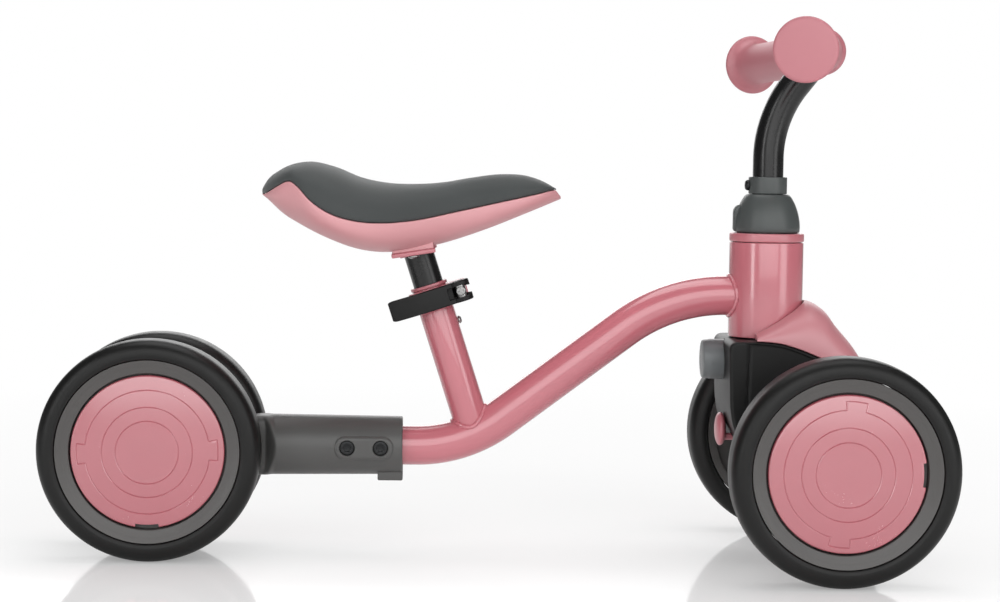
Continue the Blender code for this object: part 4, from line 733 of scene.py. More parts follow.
POST_LOW, POST_HIGH = 42.0, 133.0
KEYWAY = dict(depth=1.0, low=46.0, high=95.0)
GLOSS_BLACK = (0.0040, 0.0040, 0.0043)
gloss_black = enamel("gloss_black_enamel", GLOSS_BLACK, 0.27, 0.002, gloss=0.45, skin_gloss=0.05)
keyway_edges = np.array([-0.2325, -0.2295, 0.2295, 0.2325])
post_angle = np.sort(np.concatenate([np.arange(72) * 2 * math.pi / 72 + 0.002, keyway_edges % (2 * math.pi)]))
post_level = np.concatenate([np.linspace(POST_LOW, KEYWAY["low"], 3),
                             np.linspace(KEYWAY["low"] + 0.6, KEYWAY["high"], 30),
                             np.linspace(KEYWAY["high"] + 0.6, POST_HIGH, 6)])[:, None]
in_keyway = (apart(post_angle, 0) < 0.231) & (post_level > KEYWAY["low"] + 0.3) & (post_level <= KEYWAY["high"])
post_radius = np.where(in_keyway, POST_RADIUS - KEYWAY["depth"], POST_RADIUS)
post_grid = turned(np.stack([post_radius, post_level + 0 * post_radius], -1), SEAT_FOOT, SEAT_AXIS, SEAT_FORWARD,
                   angles=post_angle)
post = skin("seat_post_black", ended(post_grid))
finished(post, gloss_black, "seat", "black_paint", "seat_post")


# ---- seat clamp ----
# Painted steel collar with two ears round the slit tube top. A cross bolt pulls the ears together
# and ends in a barrel nut that the lever's eye turns on.

CLAMP_AT, CLAMP_HEIGHT = 92.0, 13.4
COLLAR_RADII = (11.6, 14.3)
EAR_REACH, EAR_OUT, EAR_SLIT = 23.0, 6.2, 2.4
BOLT_AT = 18.6
LEVER_OUT = 13.4
BARREL_RADIUS = 3.4
clamp_low, clamp_high = CLAMP_AT - CLAMP_HEIGHT / 2, CLAMP_AT + CLAMP_HEIGHT / 2
inner, outer = COLLAR_RADII
band = hoop([(inner, clamp_low), (outer, clamp_low), (outer, clamp_high), (inner, clamp_high)], 0.7)
collar = skin("clamp_collar_coated", about_seat(band, 80))
ears = block("ears", (inner + 0.6, -EAR_OUT, clamp_low + 0.05), (EAR_REACH, EAR_OUT, clamp_high - 0.05), 1.2,
             SEAT_FOOT, seat_axes)
ear_gap = block("ear_gap", (0.0, -EAR_SLIT / 2, clamp_low - 2), (EAR_REACH + 4, EAR_SLIT / 2, clamp_high + 2), 0.1,
                SEAT_FOOT, seat_axes)
reshaped(collar, ears, "UNION")
reshaped(collar, ear_gap)
reshaped(collar, skin("bore", about_seat(rod(inner, clamp_low - 3, clamp_high + 3), 80)))
finished(collar, pink_enamel, "frame", "frame_paint", "clamp_collar")
bolt_centre = SEAT_FOOT + BOLT_AT * SEAT_FORWARD + CLAMP_AT * SEAT_AXIS
tip = LEVER_OUT + BARREL_RADIUS + 0.5
bolt_profile = softened([(0, -9.6), (3.4, -9.4), (4.1, -8.6), (4.1, -6.5), (2.0, -6.5), (2.0, tip - 1.4),
                         (2.9, tip - 1.3), (2.9, tip - 0.3), (2.5, tip), (0, tip)], 0.25, 4)
bolt = cross_screw("clamp_bolt_plated", bolt_profile, bolt_centre, (0, -1, 0), SEAT_FORWARD, tip, (1.9, 0.42, 0.9))
finished(bolt, plated_steel, "frame", "steel", "clamp_bolt")
reach = CLAMP_HEIGHT / 2 - 0.4
barrel_centre = bolt_centre + np.array([0, -LEVER_OUT, 0])


def about_barrel(name, profile, sides=48):
    """Piece turned about the barrel nut's line."""
    return skin(name, turned(profile, barrel_centre, SEAT_AXIS, SEAT_FORWARD, sides))


barrel = about_barrel("clamp_barrel_plated", softened(rod(BARREL_RADIUS, -reach, reach), 0.5))
finished(barrel, plated_steel, "frame", "steel", "clamp_barrel")


# ---- clamp lever ----
# Black nylon quick-release lever, curved round the tube, with a forked eye on the barrel nut. Its
# window shows the nut and the bolt's end.

LEVER_EYE_RADIUS = 6.6
LEVER_TAIL = -27.5
LEVER_THICKNESS = 3.6
LEVER_SAG = 5.4
LEVER_WINDOW = 7.8
LEVER_SLOT = 4.8
LEVER_POCKET, POCKET_REACH = 5.2, 3.2
LEVER_CURL = 0.86
LEVER_TIP = (0.90, 0.965, 0.99, 1.0)
BLACK_PLASTIC = (0.0050, 0.0050, 0.0050)
black_plastic = moulded("black_plastic_satin", BLACK_PLASTIC, 0.44, 0.38, 0.020, 0.16, gloss=0.28)
span = LEVER_TAIL - BOLT_AT
lever_radius = ((span / 2) ** 2 + LEVER_SAG ** 2) / (2 * LEVER_SAG)
spread = math.asin(abs(span) / 2 / lever_radius)
flat = arc((span / 2, lever_radius - LEVER_SAG - 0.6), lever_radius, -math.pi / 2 - spread,
           -math.pi / 2 + spread * LEVER_CURL, 40)
lever_line = barrel_centre + flat[:, :1] * SEAT_FORWARD + flat[:, 1:] * np.array([0, 1.0, 0])
half_t, half_h = LEVER_THICKNESS / 2, CLAMP_HEIGHT / 2
strap_section = softened([(-half_h, -half_t), (half_h, -half_t), (half_h, half_t), (-half_h, half_t)], 1.1, 6,
                         closed=True)
end_size = np.ones(len(lever_line))
end_size[:len(LEVER_TIP)] = LEVER_TIP
strap = ended(carried(lever_line, strap_section * end_size[:, None, None], SEAT_AXIS))
lever = skin("clamp_lever_black", strap)
reshaped(lever, about_barrel("eye", softened(rod(LEVER_EYE_RADIUS, -half_h, half_h), 0.9), 64), "UNION")
window, slot, web = LEVER_WINDOW / 2, LEVER_SLOT / 2, half_h - 0.4
# Name, low and high corner about the barrel nut, rounding and what is done with the block.
LEVER_BLOCKS = (("web", (-10.0, -2.4, -web), (-3.0, 1.4, web), 0.4, "UNION"),
                ("window", (-8.5, -12, -window), (12, -0.4, window), 0.6, "DIFFERENCE"),
                ("bolt_slot", (-slot, -12, -slot), (12, 12, slot), 0.4, "DIFFERENCE"))
for name, low, high, rounding, operation in LEVER_BLOCKS:
    reshaped(lever, block(name, low, high, rounding, barrel_centre, seat_axes), operation)
reshaped(lever, about_barrel("pocket", rod(LEVER_POCKET, -POCKET_REACH, POCKET_REACH)))
reshaped(lever, about_barrel("bore", rod(BARREL_RADIUS + 0.2, -12, 12)))
finished(lever, black_plastic, "clamp_lever", "black_plastic", "clamp_lever")


# ---- seat bracket ----
# Pink moulded socket for the post, with a plate that two screws hold to the seat shell.

BRACKET_LOW, BRACKET_HIGH = 122.4, 136.0
BRACKET_RADIUS = 12.4
PLATE_TILT = math.radians(9)
PLATE_MIDDLE = np.array([-48.5, 0.0, 0.0])
PLATE_SIZE = (28.0, 50.0, 2.4)
SEAT_SCREW_OUT = 19.0
# Side outlines of the saddle as (x, height): the pad's top, the line between pad and shell, the keel.
PAD_TOP = ((-145, 234), (-141.5, 239.6), (-133, 246.5), (-116, 251.8), (-99, 248.8), (-82, 242.2), (-66, 239.1),
           (-48, 238.5), (-30, 239.8), (-12, 243), (8, 245.5), (24, 244.5), (36, 240.2), (41.5, 237))
PARTING = ((-145, 231.6), (-143.6, 231.2), (-141, 232.0), (-133, 236.5), (-126.5, 239.6), (-124.3, 239.6),
           (-121, 237.4), (-112, 228.2), (-99, 220), (-86, 216.2), (-67, 214.8), (-51, 216), (-19, 222.4),
           (8, 228.6), (30, 233.6), (39, 235.7), (41.5, 235.9), (43, 234.2), (45.5, 231.6))
KEEL = ((-145, 231.0), (-142.3, 228.9), (-131, 218.6), (-119, 211.4), (-99, 202.0), (-86, 197.5), (-69.5, 195.0),
        (-60, 195.2), (-35, 199.6), (-5, 209.2), (22, 220.2), (35, 225.7), (45.5, 230.2))


def flowing(knots, x):
    """Smooth curve through knots: cubic Hermite pieces whose slopes are the knots' central differences."""
    xs, zs = np.array(knots, float).T
    slopes = np.gradient(zs, xs)
    k = np.clip(np.searchsorted(xs, x) - 1, 0, len(xs) - 2)
    width = xs[k + 1] - xs[k]
    t = np.clip((x - xs[k]) / width, 0, 1)
    start = (1 + 2 * t) * (1 - t) ** 2 * zs[k] + t * (1 - t) ** 2 * width * slopes[k]
    return start + t * t * (3 - 2 * t) * zs[k + 1] + t * t * (t - 1) * width * slopes[k + 1]


PLATE_MIDDLE[2] = float(flowing(KEEL, np.array([PLATE_MIDDLE[0]]))[0]) - 0.6
plate_axes = ((math.cos(PLATE_TILT), 0, math.sin(PLATE_TILT)), (0, 1, 0),
              (-math.sin(PLATE_TILT), 0, math.cos(PLATE_TILT)))
socket, roof = POST_RADIUS + 0.15, BRACKET_HIGH - 4
bracket_profile = softened([(0, BRACKET_HIGH), (BRACKET_RADIUS, BRACKET_HIGH), (BRACKET_RADIUS, BRACKET_LOW),
                            (socket, BRACKET_LOW), (socket, roof), (0, roof)], 0.6)
bracket = skin("seat_bracket_moulded", about_seat(bracket_profile))
length, width, thick = PLATE_SIZE
plate_low, plate_high = (-length / 2, -width / 2, -thick), (length / 2, width / 2, 0.4)
reshaped(bracket, block("plate", plate_low, plate_high, 0.8, PLATE_MIDDLE, plate_axes), "UNION")
finished(bracket, pink_plastic, "seat", "pink_plastic", "seat_bracket")
seat_screw_profile = softened([(0, -2.0), (2.0, -2.0), (2.0, thick + 0.1), (3.6, thick + 0.2), (3.6, thick + 1.1),
                               (2.2, thick + 2.0), (0, thick + 2.3)], 0.3, 4)
for label, out in (("left", SEAT_SCREW_OUT), ("right", -SEAT_SCREW_OUT)):
    centre = PLATE_MIDDLE + np.array([0, out, 0])
    screw = cross_screw(f"seat_screw_{label}_plated", seat_screw_profile, centre, -np.array(plate_axes[2]),
                        plate_axes[0], thick + 2.0, (1.8, 0.4, 0.9))
    finished(screw, plated_steel, "seat", "steel", f"seat_screw_{label}")


# ---- seat shell ----
# Moulded pink pan that carries the pad: broad and round at the rear, narrow at the nose, hull-shaped
# underneath, with the pad's edge lying on its rim.

SEAT_ENDS = (-145.0, 45.5)
SEAT_HALF_WIDTHS = (62.0, 29.0)
LANDING_INSET = 0.8
# The shell's pink is a lighter, paler copy of the pink plastic: painted light that stands in for the light thrown up
# by the white floor and the sheen on the hull.
SHELL_PINK_PAINTED_LIGHT = (0.585, 0.262, 0.282)


def seat_half_width(x):
    """Half width of the saddle in plan: the rear width blends into the nose width, and both ends close
    with quarter ellipses 46 and 34 mm long."""
    width = SEAT_HALF_WIDTHS[0] + (SEAT_HALF_WIDTHS[1] - SEAT_HALF_WIDTHS[0]) * eased((x + 92) / 84)
    rear = np.clip((x - SEAT_ENDS[0]) / 46, 0, 1)
    nose = np.clip((SEAT_ENDS[1] - x) / 34, 0, 1)
    return width * np.sqrt(1 - (1 - rear) ** 2) * np.sqrt(1 - (1 - nose) ** 2)


def crowded(first, last, count):
    """Distances from first to last that lie closer together towards both ends, by a cosine."""
    return first + (last - first) * (1 - np.cos(np.linspace(0, math.pi, count))) / 2


def hull(x, base, crown, half_width, power, edge, steps=56):
    """Grid of sections across the saddle: a superellipse arch of the given power from the base to the
    crown, ended by a quarter-round edge, with a flat other side."""
    turn = np.linspace(0, math.pi, steps)
    cosine, sine = np.cos(turn), np.sin(turn)
    arch_y = half_width[:, None] * np.sign(cosine) * np.abs(cosine) ** (2 / power)
    up = np.sign(crown - base)[:, None] * np.minimum(edge, np.abs(crown - base)[:, None] * 0.4)
    arch_z = base[:, None] + up + (crown[:, None] - base[:, None] - up) * sine ** (2 / power)
    roll = np.linspace(0, math.pi / 2, 5)[1:]
    pull = np.minimum(edge, half_width[:, None] * 0.5)
    right_y = -half_width[:, None] + pull * (1 - np.cos(roll))
    roll_z = base[:, None] + up * (1 - np.sin(roll))
    flat_part = np.linspace(-1, 1, 16)[1:-1]
    flat_y = (half_width[:, None] - pull) * flat_part
    y = np.concatenate([arch_y, right_y, flat_y, -right_y[:, ::-1]], 1)
    z = np.concatenate([arch_z, roll_z, base[:, None] + 0 * flat_y, roll_z[:, ::-1]], 1)
    return np.stack([x[:, None] + 0 * y, y, z], -1)


shell_x = np.unique(np.concatenate([crowded(-144.6, 45.2, 110), crowded(-142, -118, 24)]))
shell_base = flowing(PARTING, shell_x) - 0.25
shell_keel = np.minimum(flowing(KEEL, shell_x), shell_base - 0.5)
shell_hull = hull(shell_x, shell_base, shell_keel, seat_half_width(shell_x), 2.4, 0.7)
shell = skin("seat_shell_moulded", ended(shell_hull), sharp=50)
land_x, land_y = length / 2 - LANDING_INSET, width / 2 - LANDING_INSET
landing = block("landing", (-land_x, -land_y, 0.3), (land_x, land_y, 9.0), 0.8, PLATE_MIDDLE, plate_axes)
reshaped(shell, landing, "UNION", sharp=50)
# Shell material: a real matt finish, with painted light from the floor below in its lighter pink.
shell_plastic_painted_light = moulded("pink_plastic_matt_painted_light", SHELL_PINK_PAINTED_LIGHT, 0.50, 0.34, 0.022, gloss=1.0)
finished(shell, shell_plastic_painted_light, "seat", "pink_plastic", "seat_shell")


# ---- seat pad ----
# Moulded soft foam pad with a fine pebble grain, glued on the shell. It is crowned across, rolls
# under at its edge, and rises to the rear to hold the child.

PAD_FOAM = (0.042, 0.047, 0.047)


def foam_pad(name):
    """Integral-skin foam: matt, with a pebble grain of half-millimetre cells and soft colour clouds."""
    foam = Recipe(name, specular_ior_level=0.4, sheen_weight=0.12, sheen_roughness=0.5)
    cells = foam.cells(0.8, feature="SMOOTH_F1")
    foam.tinted(PAD_FOAM, foam.noise(20.0, 3.0) * 0.5 + cells * 0.5, 0.90, 1.12)
    foam.rough(0.62 + cells * 0.16)
    foam.relief(1 - cells, 0.055)
    return foam.material


pad_x = np.unique(np.concatenate([crowded(-144.9, 41.6, 130), crowded(-144, -112, 30)]))
pad_base = flowing(PARTING, pad_x) + 0.15
pad_top = np.maximum(flowing(PAD_TOP, pad_x), pad_base + 0.7)
pad = skin("seat_pad_foam", ended(hull(pad_x, pad_base, pad_top, seat_half_width(pad_x), 2.5, 1.6)), sharp=60)
finished(pad, foam_pad("grey_foam_grain"), "seat", "seat_foam", "seat_pad")


# ---- fork body ----
# Black nylon moulding under the head tube: a hollow body, open below, with a crown boss for the
# steerer and a cross tube for the front axle. A rib runs down each side behind its back edge.

FORK_HALF_WIDTH = 39.0
FORK_WALL = 4.0
FORK_MIDDLE = np.array([205.0, 95.0])
FORK_BROW = ((172, 142.6), (184, 141.4), (197, 137.4), (213, 130.6), (226, 121.6), (235, 110), (240.5, 97), (243, 82))
FORK_OUTLINE = ((150.5, 142.6), *FORK_BROW, (241, 66), (233, 53), (219, 46), (203, 46), (186, 52), (170, 63),
                (159.5, 76.5), (154, 88), (151.8, 100))


def even_loop(outline, count):
    """Closed outline resampled to points an equal distance apart."""
    closed = np.concatenate([outline, outline[:1]])
    reach = np.concatenate([[0], np.cumsum(np.linalg.norm(np.diff(closed, axis=0), axis=1))])
    at = np.linspace(0, reach[-1], count, endpoint=False)
    return np.stack([np.interp(at, reach, closed[:, k]) for k in (0, 1)], -1)


def slab(name, outline, half_width, rounding, relief=None):
    """Body with a rounded rim: an outline (x, z) carried across Y. Rows run from one side's middle out to
    the rim, over it in two quarter rounds and back; relief gives the side faces' depth at (x, z)."""
    away = outline - FORK_MIDDLE
    size = np.linalg.norm(away, axis=1, keepdims=True)
    part = np.linspace(0, 1, 64)[1:]
    turn = np.linspace(0, math.pi / 2, 7)[1:]
    face_inset = (1 - part)[:, None] * (size[:, 0] - rounding) + rounding
    rim_inset = rounding * (1 - np.sin(turn))[:, None] + 0 * size[:, 0]
    inset = np.concatenate([face_inset, rim_inset])
    level = np.concatenate([np.full(len(part), half_width), half_width - rounding * (1 - np.cos(turn))])
    flat = FORK_MIDDLE + away[None] * (1 - inset[..., None] / size[None])
    y = np.broadcast_to(level[:, None], flat.shape[:2]).copy()
    if relief is not None:
        y = y - relief(flat[..., 0], flat[..., 1], inset)
    right = np.stack([flat[..., 0], -y, flat[..., 1]], -1)
    left = np.stack([flat[..., 0], y, flat[..., 1]], -1)[::-1]
    return skin(name, ended(np.concatenate([right, left])), sharp=32)


def fork_relief(x, z, inset):
    """Side panel sunk by 1.1 mm in front of the back rib, with a 1.6 mm groove along the rib's foot, and
    a lip 1.6 mm wide that stands along the top edge."""
    line = 161.0 + 0.9 * np.sin((z - 95) / 30)
    panel = 1.1 * eased((x - line) / 2.2) * (z < 200)
    groove = 0.7 * np.clip(1 - np.abs(x - line - 1.6) / 1.3, 0, 1)
    lip_part = eased((inset - 1.5) / 0.9)
    return (panel + groove) * lip_part


fork_edge = even_loop(softened(FORK_OUTLINE, 6.0, 8, closed=True), 300)
fork = slab("fork_body_moulded", fork_edge, FORK_HALF_WIDTH, 2.2, fork_relief)
corners = np.array(FORK_OUTLINE)
away = corners - FORK_MIDDLE
shrink = 1 - FORK_WALL * 1.15 / np.linalg.norm(away, axis=1, keepdims=True)
open_below = np.where(corners[:, 1:] < 75, 34.0, 0.0) * np.array([0, 1.0])
hollow = softened(FORK_MIDDLE + away * shrink - open_below, 4.0, 6, closed=True)
reshaped(fork, slab("hollow", even_loop(hollow, 120), FORK_HALF_WIDTH - FORK_WALL, 2.0), sharp=32)
reshaped(fork, axle_boss("cross_tube", FRONT_X, FRONT_TRACK, 72), "UNION", sharp=32)
reshaped(fork, skin("crown_boss", about_steerer(softened(rod(18, 112, 142.2), 0.6), 64)), "UNION", sharp=32)
opening = turned(rod(13.2, -31.0, -20.5), (STEER_X, 0, 128.4), (1, 0, 0), (0, 1, 0), 64)
reshaped(fork, skin("button_opening", opening), sharp=32)
finished(fork, black_plastic, "steering", "black_plastic", "fork_body")


# ---- front cover ----
# Pink moulded cowl clipped over the fork. Its rear rim hugs the head tube with a narrow gap, and a
# soft shoulder on each side runs down to the nose.

COVER_RIDGE = ((169, 146.6), (181, 154.4), (193, 161.9), (204.5, 166.3), (214, 161.4), (222, 151.4),
               (233.5, 137.7), (243, 121), (249, 102), (251, 84))
COVER_EDGE = ((168, 142.6), *FORK_BROW)
COVER_WALL = 2.0
COVER_GAP = 1.3
# The cover's pink is a lighter copy of the pink plastic: painted light on the cowl.
COVER_PINK_PAINTED_LIGHT = (0.500, 0.190, 0.215)


def along_line(knots, part):
    """Points at equal parts of a smooth line through knots, laid over the distance between them."""
    knots = np.array(knots, float)
    reach = np.concatenate([[0], np.cumsum(np.linalg.norm(np.diff(knots, axis=0), axis=1))])
    return np.stack([flowing(np.stack([reach, knots[:, k]], -1), part * reach[-1]) for k in (0, 1)], -1)


part = np.linspace(0, 1, 90)
ridge, edge = along_line(COVER_RIDGE, part), along_line(COVER_EDGE, part)
turn = np.linspace(0, math.pi, 73)
rise = np.sin(turn) ** 0.80
across = -np.sign(np.cos(turn)) * np.abs(np.cos(turn)) ** 0.80
side_line = edge[:, None] + (ridge - edge)[:, None] * rise[None, :, None]
outer_face = np.stack([side_line[..., 0], across * (FORK_HALF_WIDTH - 0.4) + 0 * side_line[..., 0],
                       side_line[..., 1] + 0.6], -1)
down = np.array([FORK_MIDDLE[0], 0, FORK_MIDDLE[1]]) - outer_face
down /= np.linalg.norm(down, axis=-1, keepdims=True)
inner_face = outer_face + down * (COVER_WALL + 5.5)
cover_loop = np.concatenate([outer_face, inner_face[:, ::-1]], 1)
cover = skin("front_cover_moulded", ended(cover_loop), sharp=42)
grown = even_loop(softened(FORK_OUTLINE, 6.0, 8, closed=True), 160)
away = grown - FORK_MIDDLE
grown = grown + away / np.linalg.norm(away, axis=1, keepdims=True) * 0.4
reshaped(cover, slab("seat", grown, 2 * FORK_HALF_WIDTH, 1.0), sharp=42)
clearance = about_steerer(rod(HEAD_RADIUS + COVER_GAP, 120, 190), 128)
reshaped(cover, skin("head_clearance", clearance), sharp=42)
# Cover material: a real eggshell finish, with painted light in its lighter pink.
cover_plastic_painted_light = moulded("pink_plastic_eggshell_painted_light", COVER_PINK_PAINTED_LIGHT, 0.42, 0.34, 0.020, gloss=1.0)
finished(cover, cover_plastic_painted_light, "steering", "pink_plastic", "front_cover")


# ---- bell collar and clamp ring ----
# Dark grey nylon collar over the top of the steerer, bell-shaped, with a small rib at the back. The
# ring above it closes on the stem with one radial screw.

BELL_LOW, BELL_HIGH = 210.4, 234.6
BELL_RADII = (21.0, 13.7)
RING_RADIUS, RING_HIGH = 12.3, 246.0
BELL_GREY = (0.056, 0.063, 0.062)
bell_plastic = moulded("blue_grey_plastic_satin", BELL_GREY, 0.40, 0.42, 0.018, 0.06)
part = np.linspace(0, 1, 28)
bell_curve = np.stack([BELL_RADII[1] + (BELL_RADII[0] - BELL_RADII[1]) * np.cos(part * math.pi / 2) ** 0.72,
                       BELL_LOW + 3.0 + (BELL_HIGH - BELL_LOW - 3.0) * part], -1)
bell_foot = [(13.0, BELL_LOW), (19.9, BELL_LOW), (20.5, BELL_LOW + 0.25), (20.85, BELL_LOW + 0.8)]
bell_top = [(13.3, BELL_HIGH + 0.25), (13.0, BELL_HIGH + 0.25), (13.0, BELL_LOW)]
bell_outline = np.concatenate([bell_foot, bell_curve, bell_top])
bell = skin("bell_collar_moulded", about_steerer(bell_outline, 112), sharp=45)
rib_outline = softened([(-21.9, BELL_LOW + 0.4), (-13.5, BELL_LOW + 0.4), (-13.5, BELL_LOW + 17.4),
                        (-19.6, BELL_LOW + 17.6), (-21.9, BELL_LOW + 14.5)], 2.2, 7, closed=True)
rib_size = np.array([0.90, 0.965, 1.0, 1.0, 0.965, 0.90])
rib_y = np.array([-3.2, -2.9, -2.3, 2.3, 2.9, 3.2])
rib_middle = rib_outline.mean(0)
rib_flat = rib_middle + (rib_outline - rib_middle)[None] * rib_size[:, None, None]
rib_grid = np.stack([STEER_X + rib_flat[..., 0], rib_y[:, None] + 0 * rib_flat[..., 0], rib_flat[..., 1]], -1)
reshaped(bell, skin("rib", ended(rib_grid)), "UNION", sharp=45)
finished(bell, bell_plastic, "steering", "grey_plastic", "bell_collar")
ring_low, ring_bore = BELL_HIGH + 0.5, 9.9
ring_profile = hoop([(ring_bore, ring_low), (RING_RADIUS, ring_low), (RING_RADIUS, RING_HIGH),
                     (ring_bore, RING_HIGH)], 0.7)
clamp_ring = skin("stem_clamp_ring_moulded", about_steerer(ring_profile))
finished(clamp_ring, bell_plastic, "steering", "grey_plastic", "stem_clamp_ring")
ring_screw_centre = (STEER_X, 0, (BELL_HIGH + RING_HIGH) / 2 + 0.3)
seat_face = RING_RADIUS - 0.3
screw_profile = softened([(0, 10.4), (1.5, 10.4), (1.5, seat_face), (3.4, seat_face), (3.4, seat_face + 1.5),
                          (2.6, seat_face + 2.6), (0, seat_face + 2.9)], 0.4)
ring_screw = cross_screw("stem_clamp_screw_black", screw_profile, ring_screw_centre, (-1, 0, 0), (0, 1, 0),
                         seat_face + 2.6, (1.7, 0.4, 1.1), 48)
finished(ring_screw, black_oxide, "steering", "black_screw", "stem_clamp_screw")


# ---- stem and crossbar ----
# Steel stem bent forward and welded to a short swept crossbar, both in gloss black.

STEM_RADIUS = 9.8
STEM_LOW, STEM_BEND_START, STEM_BEND_RADIUS, STEM_LEAN = 165.0, 258.0, 77.0, math.radians(38)
BAR_HEIGHT = 325.8
BAR_RADIUS = 9.0
BAR_STRAIGHT = 13.0
BAR_HALF_WIDTH = 105.0
BAR_DROP = 3.5
BAR_BACK = 27.5
bend = arc((STEM_BEND_RADIUS, STEM_BEND_START), STEM_BEND_RADIUS, math.pi, math.pi - STEM_LEAN, 30)
reach = (BAR_HEIGHT - bend[-1][1]) / math.cos(STEM_LEAN)
stem_end = bend[-1] + reach * np.array([math.sin(STEM_LEAN), math.cos(STEM_LEAN)])
flat = np.concatenate([[(0, STEM_LOW), (0, 240)], bend, [stem_end]])
stem_line = np.stack([STEER_X + flat[:, 0], 0 * flat[:, 0], flat[:, 1]], -1)
stem = skin("handlebar_stem_black", ended(carried(stem_line, circle(STEM_RADIUS, 72))))
finished(stem, gloss_black, "steering", "black_paint", "handlebar_stem")
bar_middle = np.array([STEER_X + stem_end[0], 0, BAR_HEIGHT])
bar_corners = bar_middle + np.array([(-BAR_BACK, -BAR_HALF_WIDTH, -BAR_DROP), (0, -BAR_STRAIGHT, 0),
                                     (0, BAR_STRAIGHT, 0), (-BAR_BACK, BAR_HALF_WIDTH, -BAR_DROP)])
bar_grid = carried(softened(bar_corners, 10.0, 8), circle(BAR_RADIUS, 64), (0, 0, 1))
bar = skin("handlebar_crossbar_black", ended(bar_grid))
finished(bar, gloss_black, "steering", "black_paint", "handlebar_crossbar")


# ---- grips ----
# Soft pink rubber grips pushed over the bar, each with a small inner flange and a broad round end
# disc that guards the hand.

GRIP_START = 24.0
GRIP_RADIUS, GRIP_FLANGE, GRIP_DISC = 13.4, 15.0, 19.8
GRIP_END_WALL = 4.0
# Outer end of the grip as (radius, distance from the end).
GRIP_END = ((GRIP_RADIUS, 14), (GRIP_RADIUS + 0.9, 8.5), (GRIP_RADIUS + 3.2, 5.4), (GRIP_DISC - 0.6, 4.2),
            (GRIP_DISC, 3.0), (GRIP_DISC - 0.2, 1.7), (GRIP_DISC - 1.5, 0.7), (GRIP_DISC * 0.5, 0.15))
PINK_RUBBER = (0.445, 0.148, 0.174)
pink_rubber = moulded("pink_rubber_soft", PINK_RUBBER, 0.46, 0.30, 0.018, 0.04, gloss=0.8)
for label, corner, end in (("left", *bar_corners[2:]), ("right", *bar_corners[1::-1])):
    along = (end - corner) / np.linalg.norm(end - corner)
    start = corner + along * (GRIP_START - BAR_STRAIGHT)
    length = np.linalg.norm(end - start) + 0.5 + GRIP_END_WALL
    wall = length - GRIP_END_WALL
    profile = softened([(0, wall), (9.2, wall), (9.2, 0), (GRIP_FLANGE, 0), (GRIP_FLANGE, 3.0), (GRIP_RADIUS, 5.5),
                        *((radius, length - back) for radius, back in GRIP_END), (0, length)], 1.6, 7)
    sideways = np.cross(along, (0, 0, 1))
    grip_grid = turned(profile, start, along, sideways / np.linalg.norm(sideways), 112)
    grip = skin(f"grip_{label}_rubber", grip_grid, sharp=50)
    finished(grip, pink_rubber, "steering", "grip_rubber", f"grip_{label}")


# ---- steering lock button ----
# Sprung grey push button in the fork's back. Pressed in, it locks the steering straight ahead.

BUTTON_BACK, BUTTON_HEIGHT, BUTTON_RADIUS, BUTTON_LENGTH = 137.5, 128.4, 12.9, 15.2
BUTTON_GREY = (0.128, 0.138, 0.142)
button_plastic = moulded("pale_grey_plastic_satin", BUTTON_GREY, 0.38, 0.40, 0.016, 0.06)
inside, pin_end = BUTTON_RADIUS - 2, BUTTON_LENGTH + 1.8
profile = softened([(0, 0.25), (7.5, 0.0), (BUTTON_RADIUS - 0.7, 0.55), (BUTTON_RADIUS - 0.25, 4.4),
                    (BUTTON_RADIUS, 5.4), (BUTTON_RADIUS, BUTTON_LENGTH), (inside, BUTTON_LENGTH), (inside, 2.2),
                    (2.5, 2.2), (2.5, pin_end), (0, pin_end)], 0.9, 7)
button_grid = turned(profile, (BUTTON_BACK, 0, BUTTON_HEIGHT), (1, 0, 0), (0, 1, 0), 96)
button = skin("lock_button_moulded", button_grid, sharp=40)
finished(button, button_plastic, "lock_button", "grey_plastic", "lock_button")


# ---- axle latch ----
# Round domed pull knob low on the fork's back, moulded in pink with its pin.

LATCH_BACK, LATCH_HEIGHT, LATCH_RADIUS, LATCH_THICKNESS = 147.4, 83.2, 10.8, 7.0
turn = np.linspace(0, math.pi, 40)
lens = np.stack([LATCH_RADIUS * np.sin(turn) ** 0.8, LATCH_THICKNESS / 2 * (1 - np.cos(turn))], -1)
lens[[0, -1], 0] = 0
latch_grid = turned(lens, (LATCH_BACK, 0, LATCH_HEIGHT), (1, 0, 0), (0, 1, 0), 72)
latch = skin("axle_latch_moulded", latch_grid, sharp=50)
pin_profile = softened(rod(2.3, 3.4, 18.4), 0.5)
pin = turned(pin_profile, (LATCH_BACK, 0, LATCH_HEIGHT - 5.0), (1, 0, 0), (0, 1, 0), 40)
reshaped(latch, skin("pin", pin), "UNION", sharp=50)
finished(latch, pink_plastic, "axle_latch", "pink_plastic", "axle_latch")


# ---- hidden steel and nylon parts ----
# Axles, nuts, steerer and spring are plain steel, and the wheel and steering bushes are natural
# nylon. They keep their CAD shapes, because they lie inside the other pieces.

NYLON = (0.62, 0.61, 0.57)
nylon = moulded("natural_nylon", NYLON, 0.42, 0.5, 0.02, 0.04)
HIDDEN = ((("front_axle", "rear_axle", "steerer", "lock_spring"), plated_steel),
          (("bush_", "upper_bush", "lower_bush"), nylon))
for name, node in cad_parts.items():
    for starts, material in HIDDEN:
        if name.startswith(starts):
            node.data.materials.clear()
            node.data.materials.append(material)


# ---- floor, light and camera ----
# Plain white studio floor that runs to a white background, under an even sky. Of five soft boxes one
# hangs overhead, two stand before and behind, and two at the sides draw highlights along the tubes.

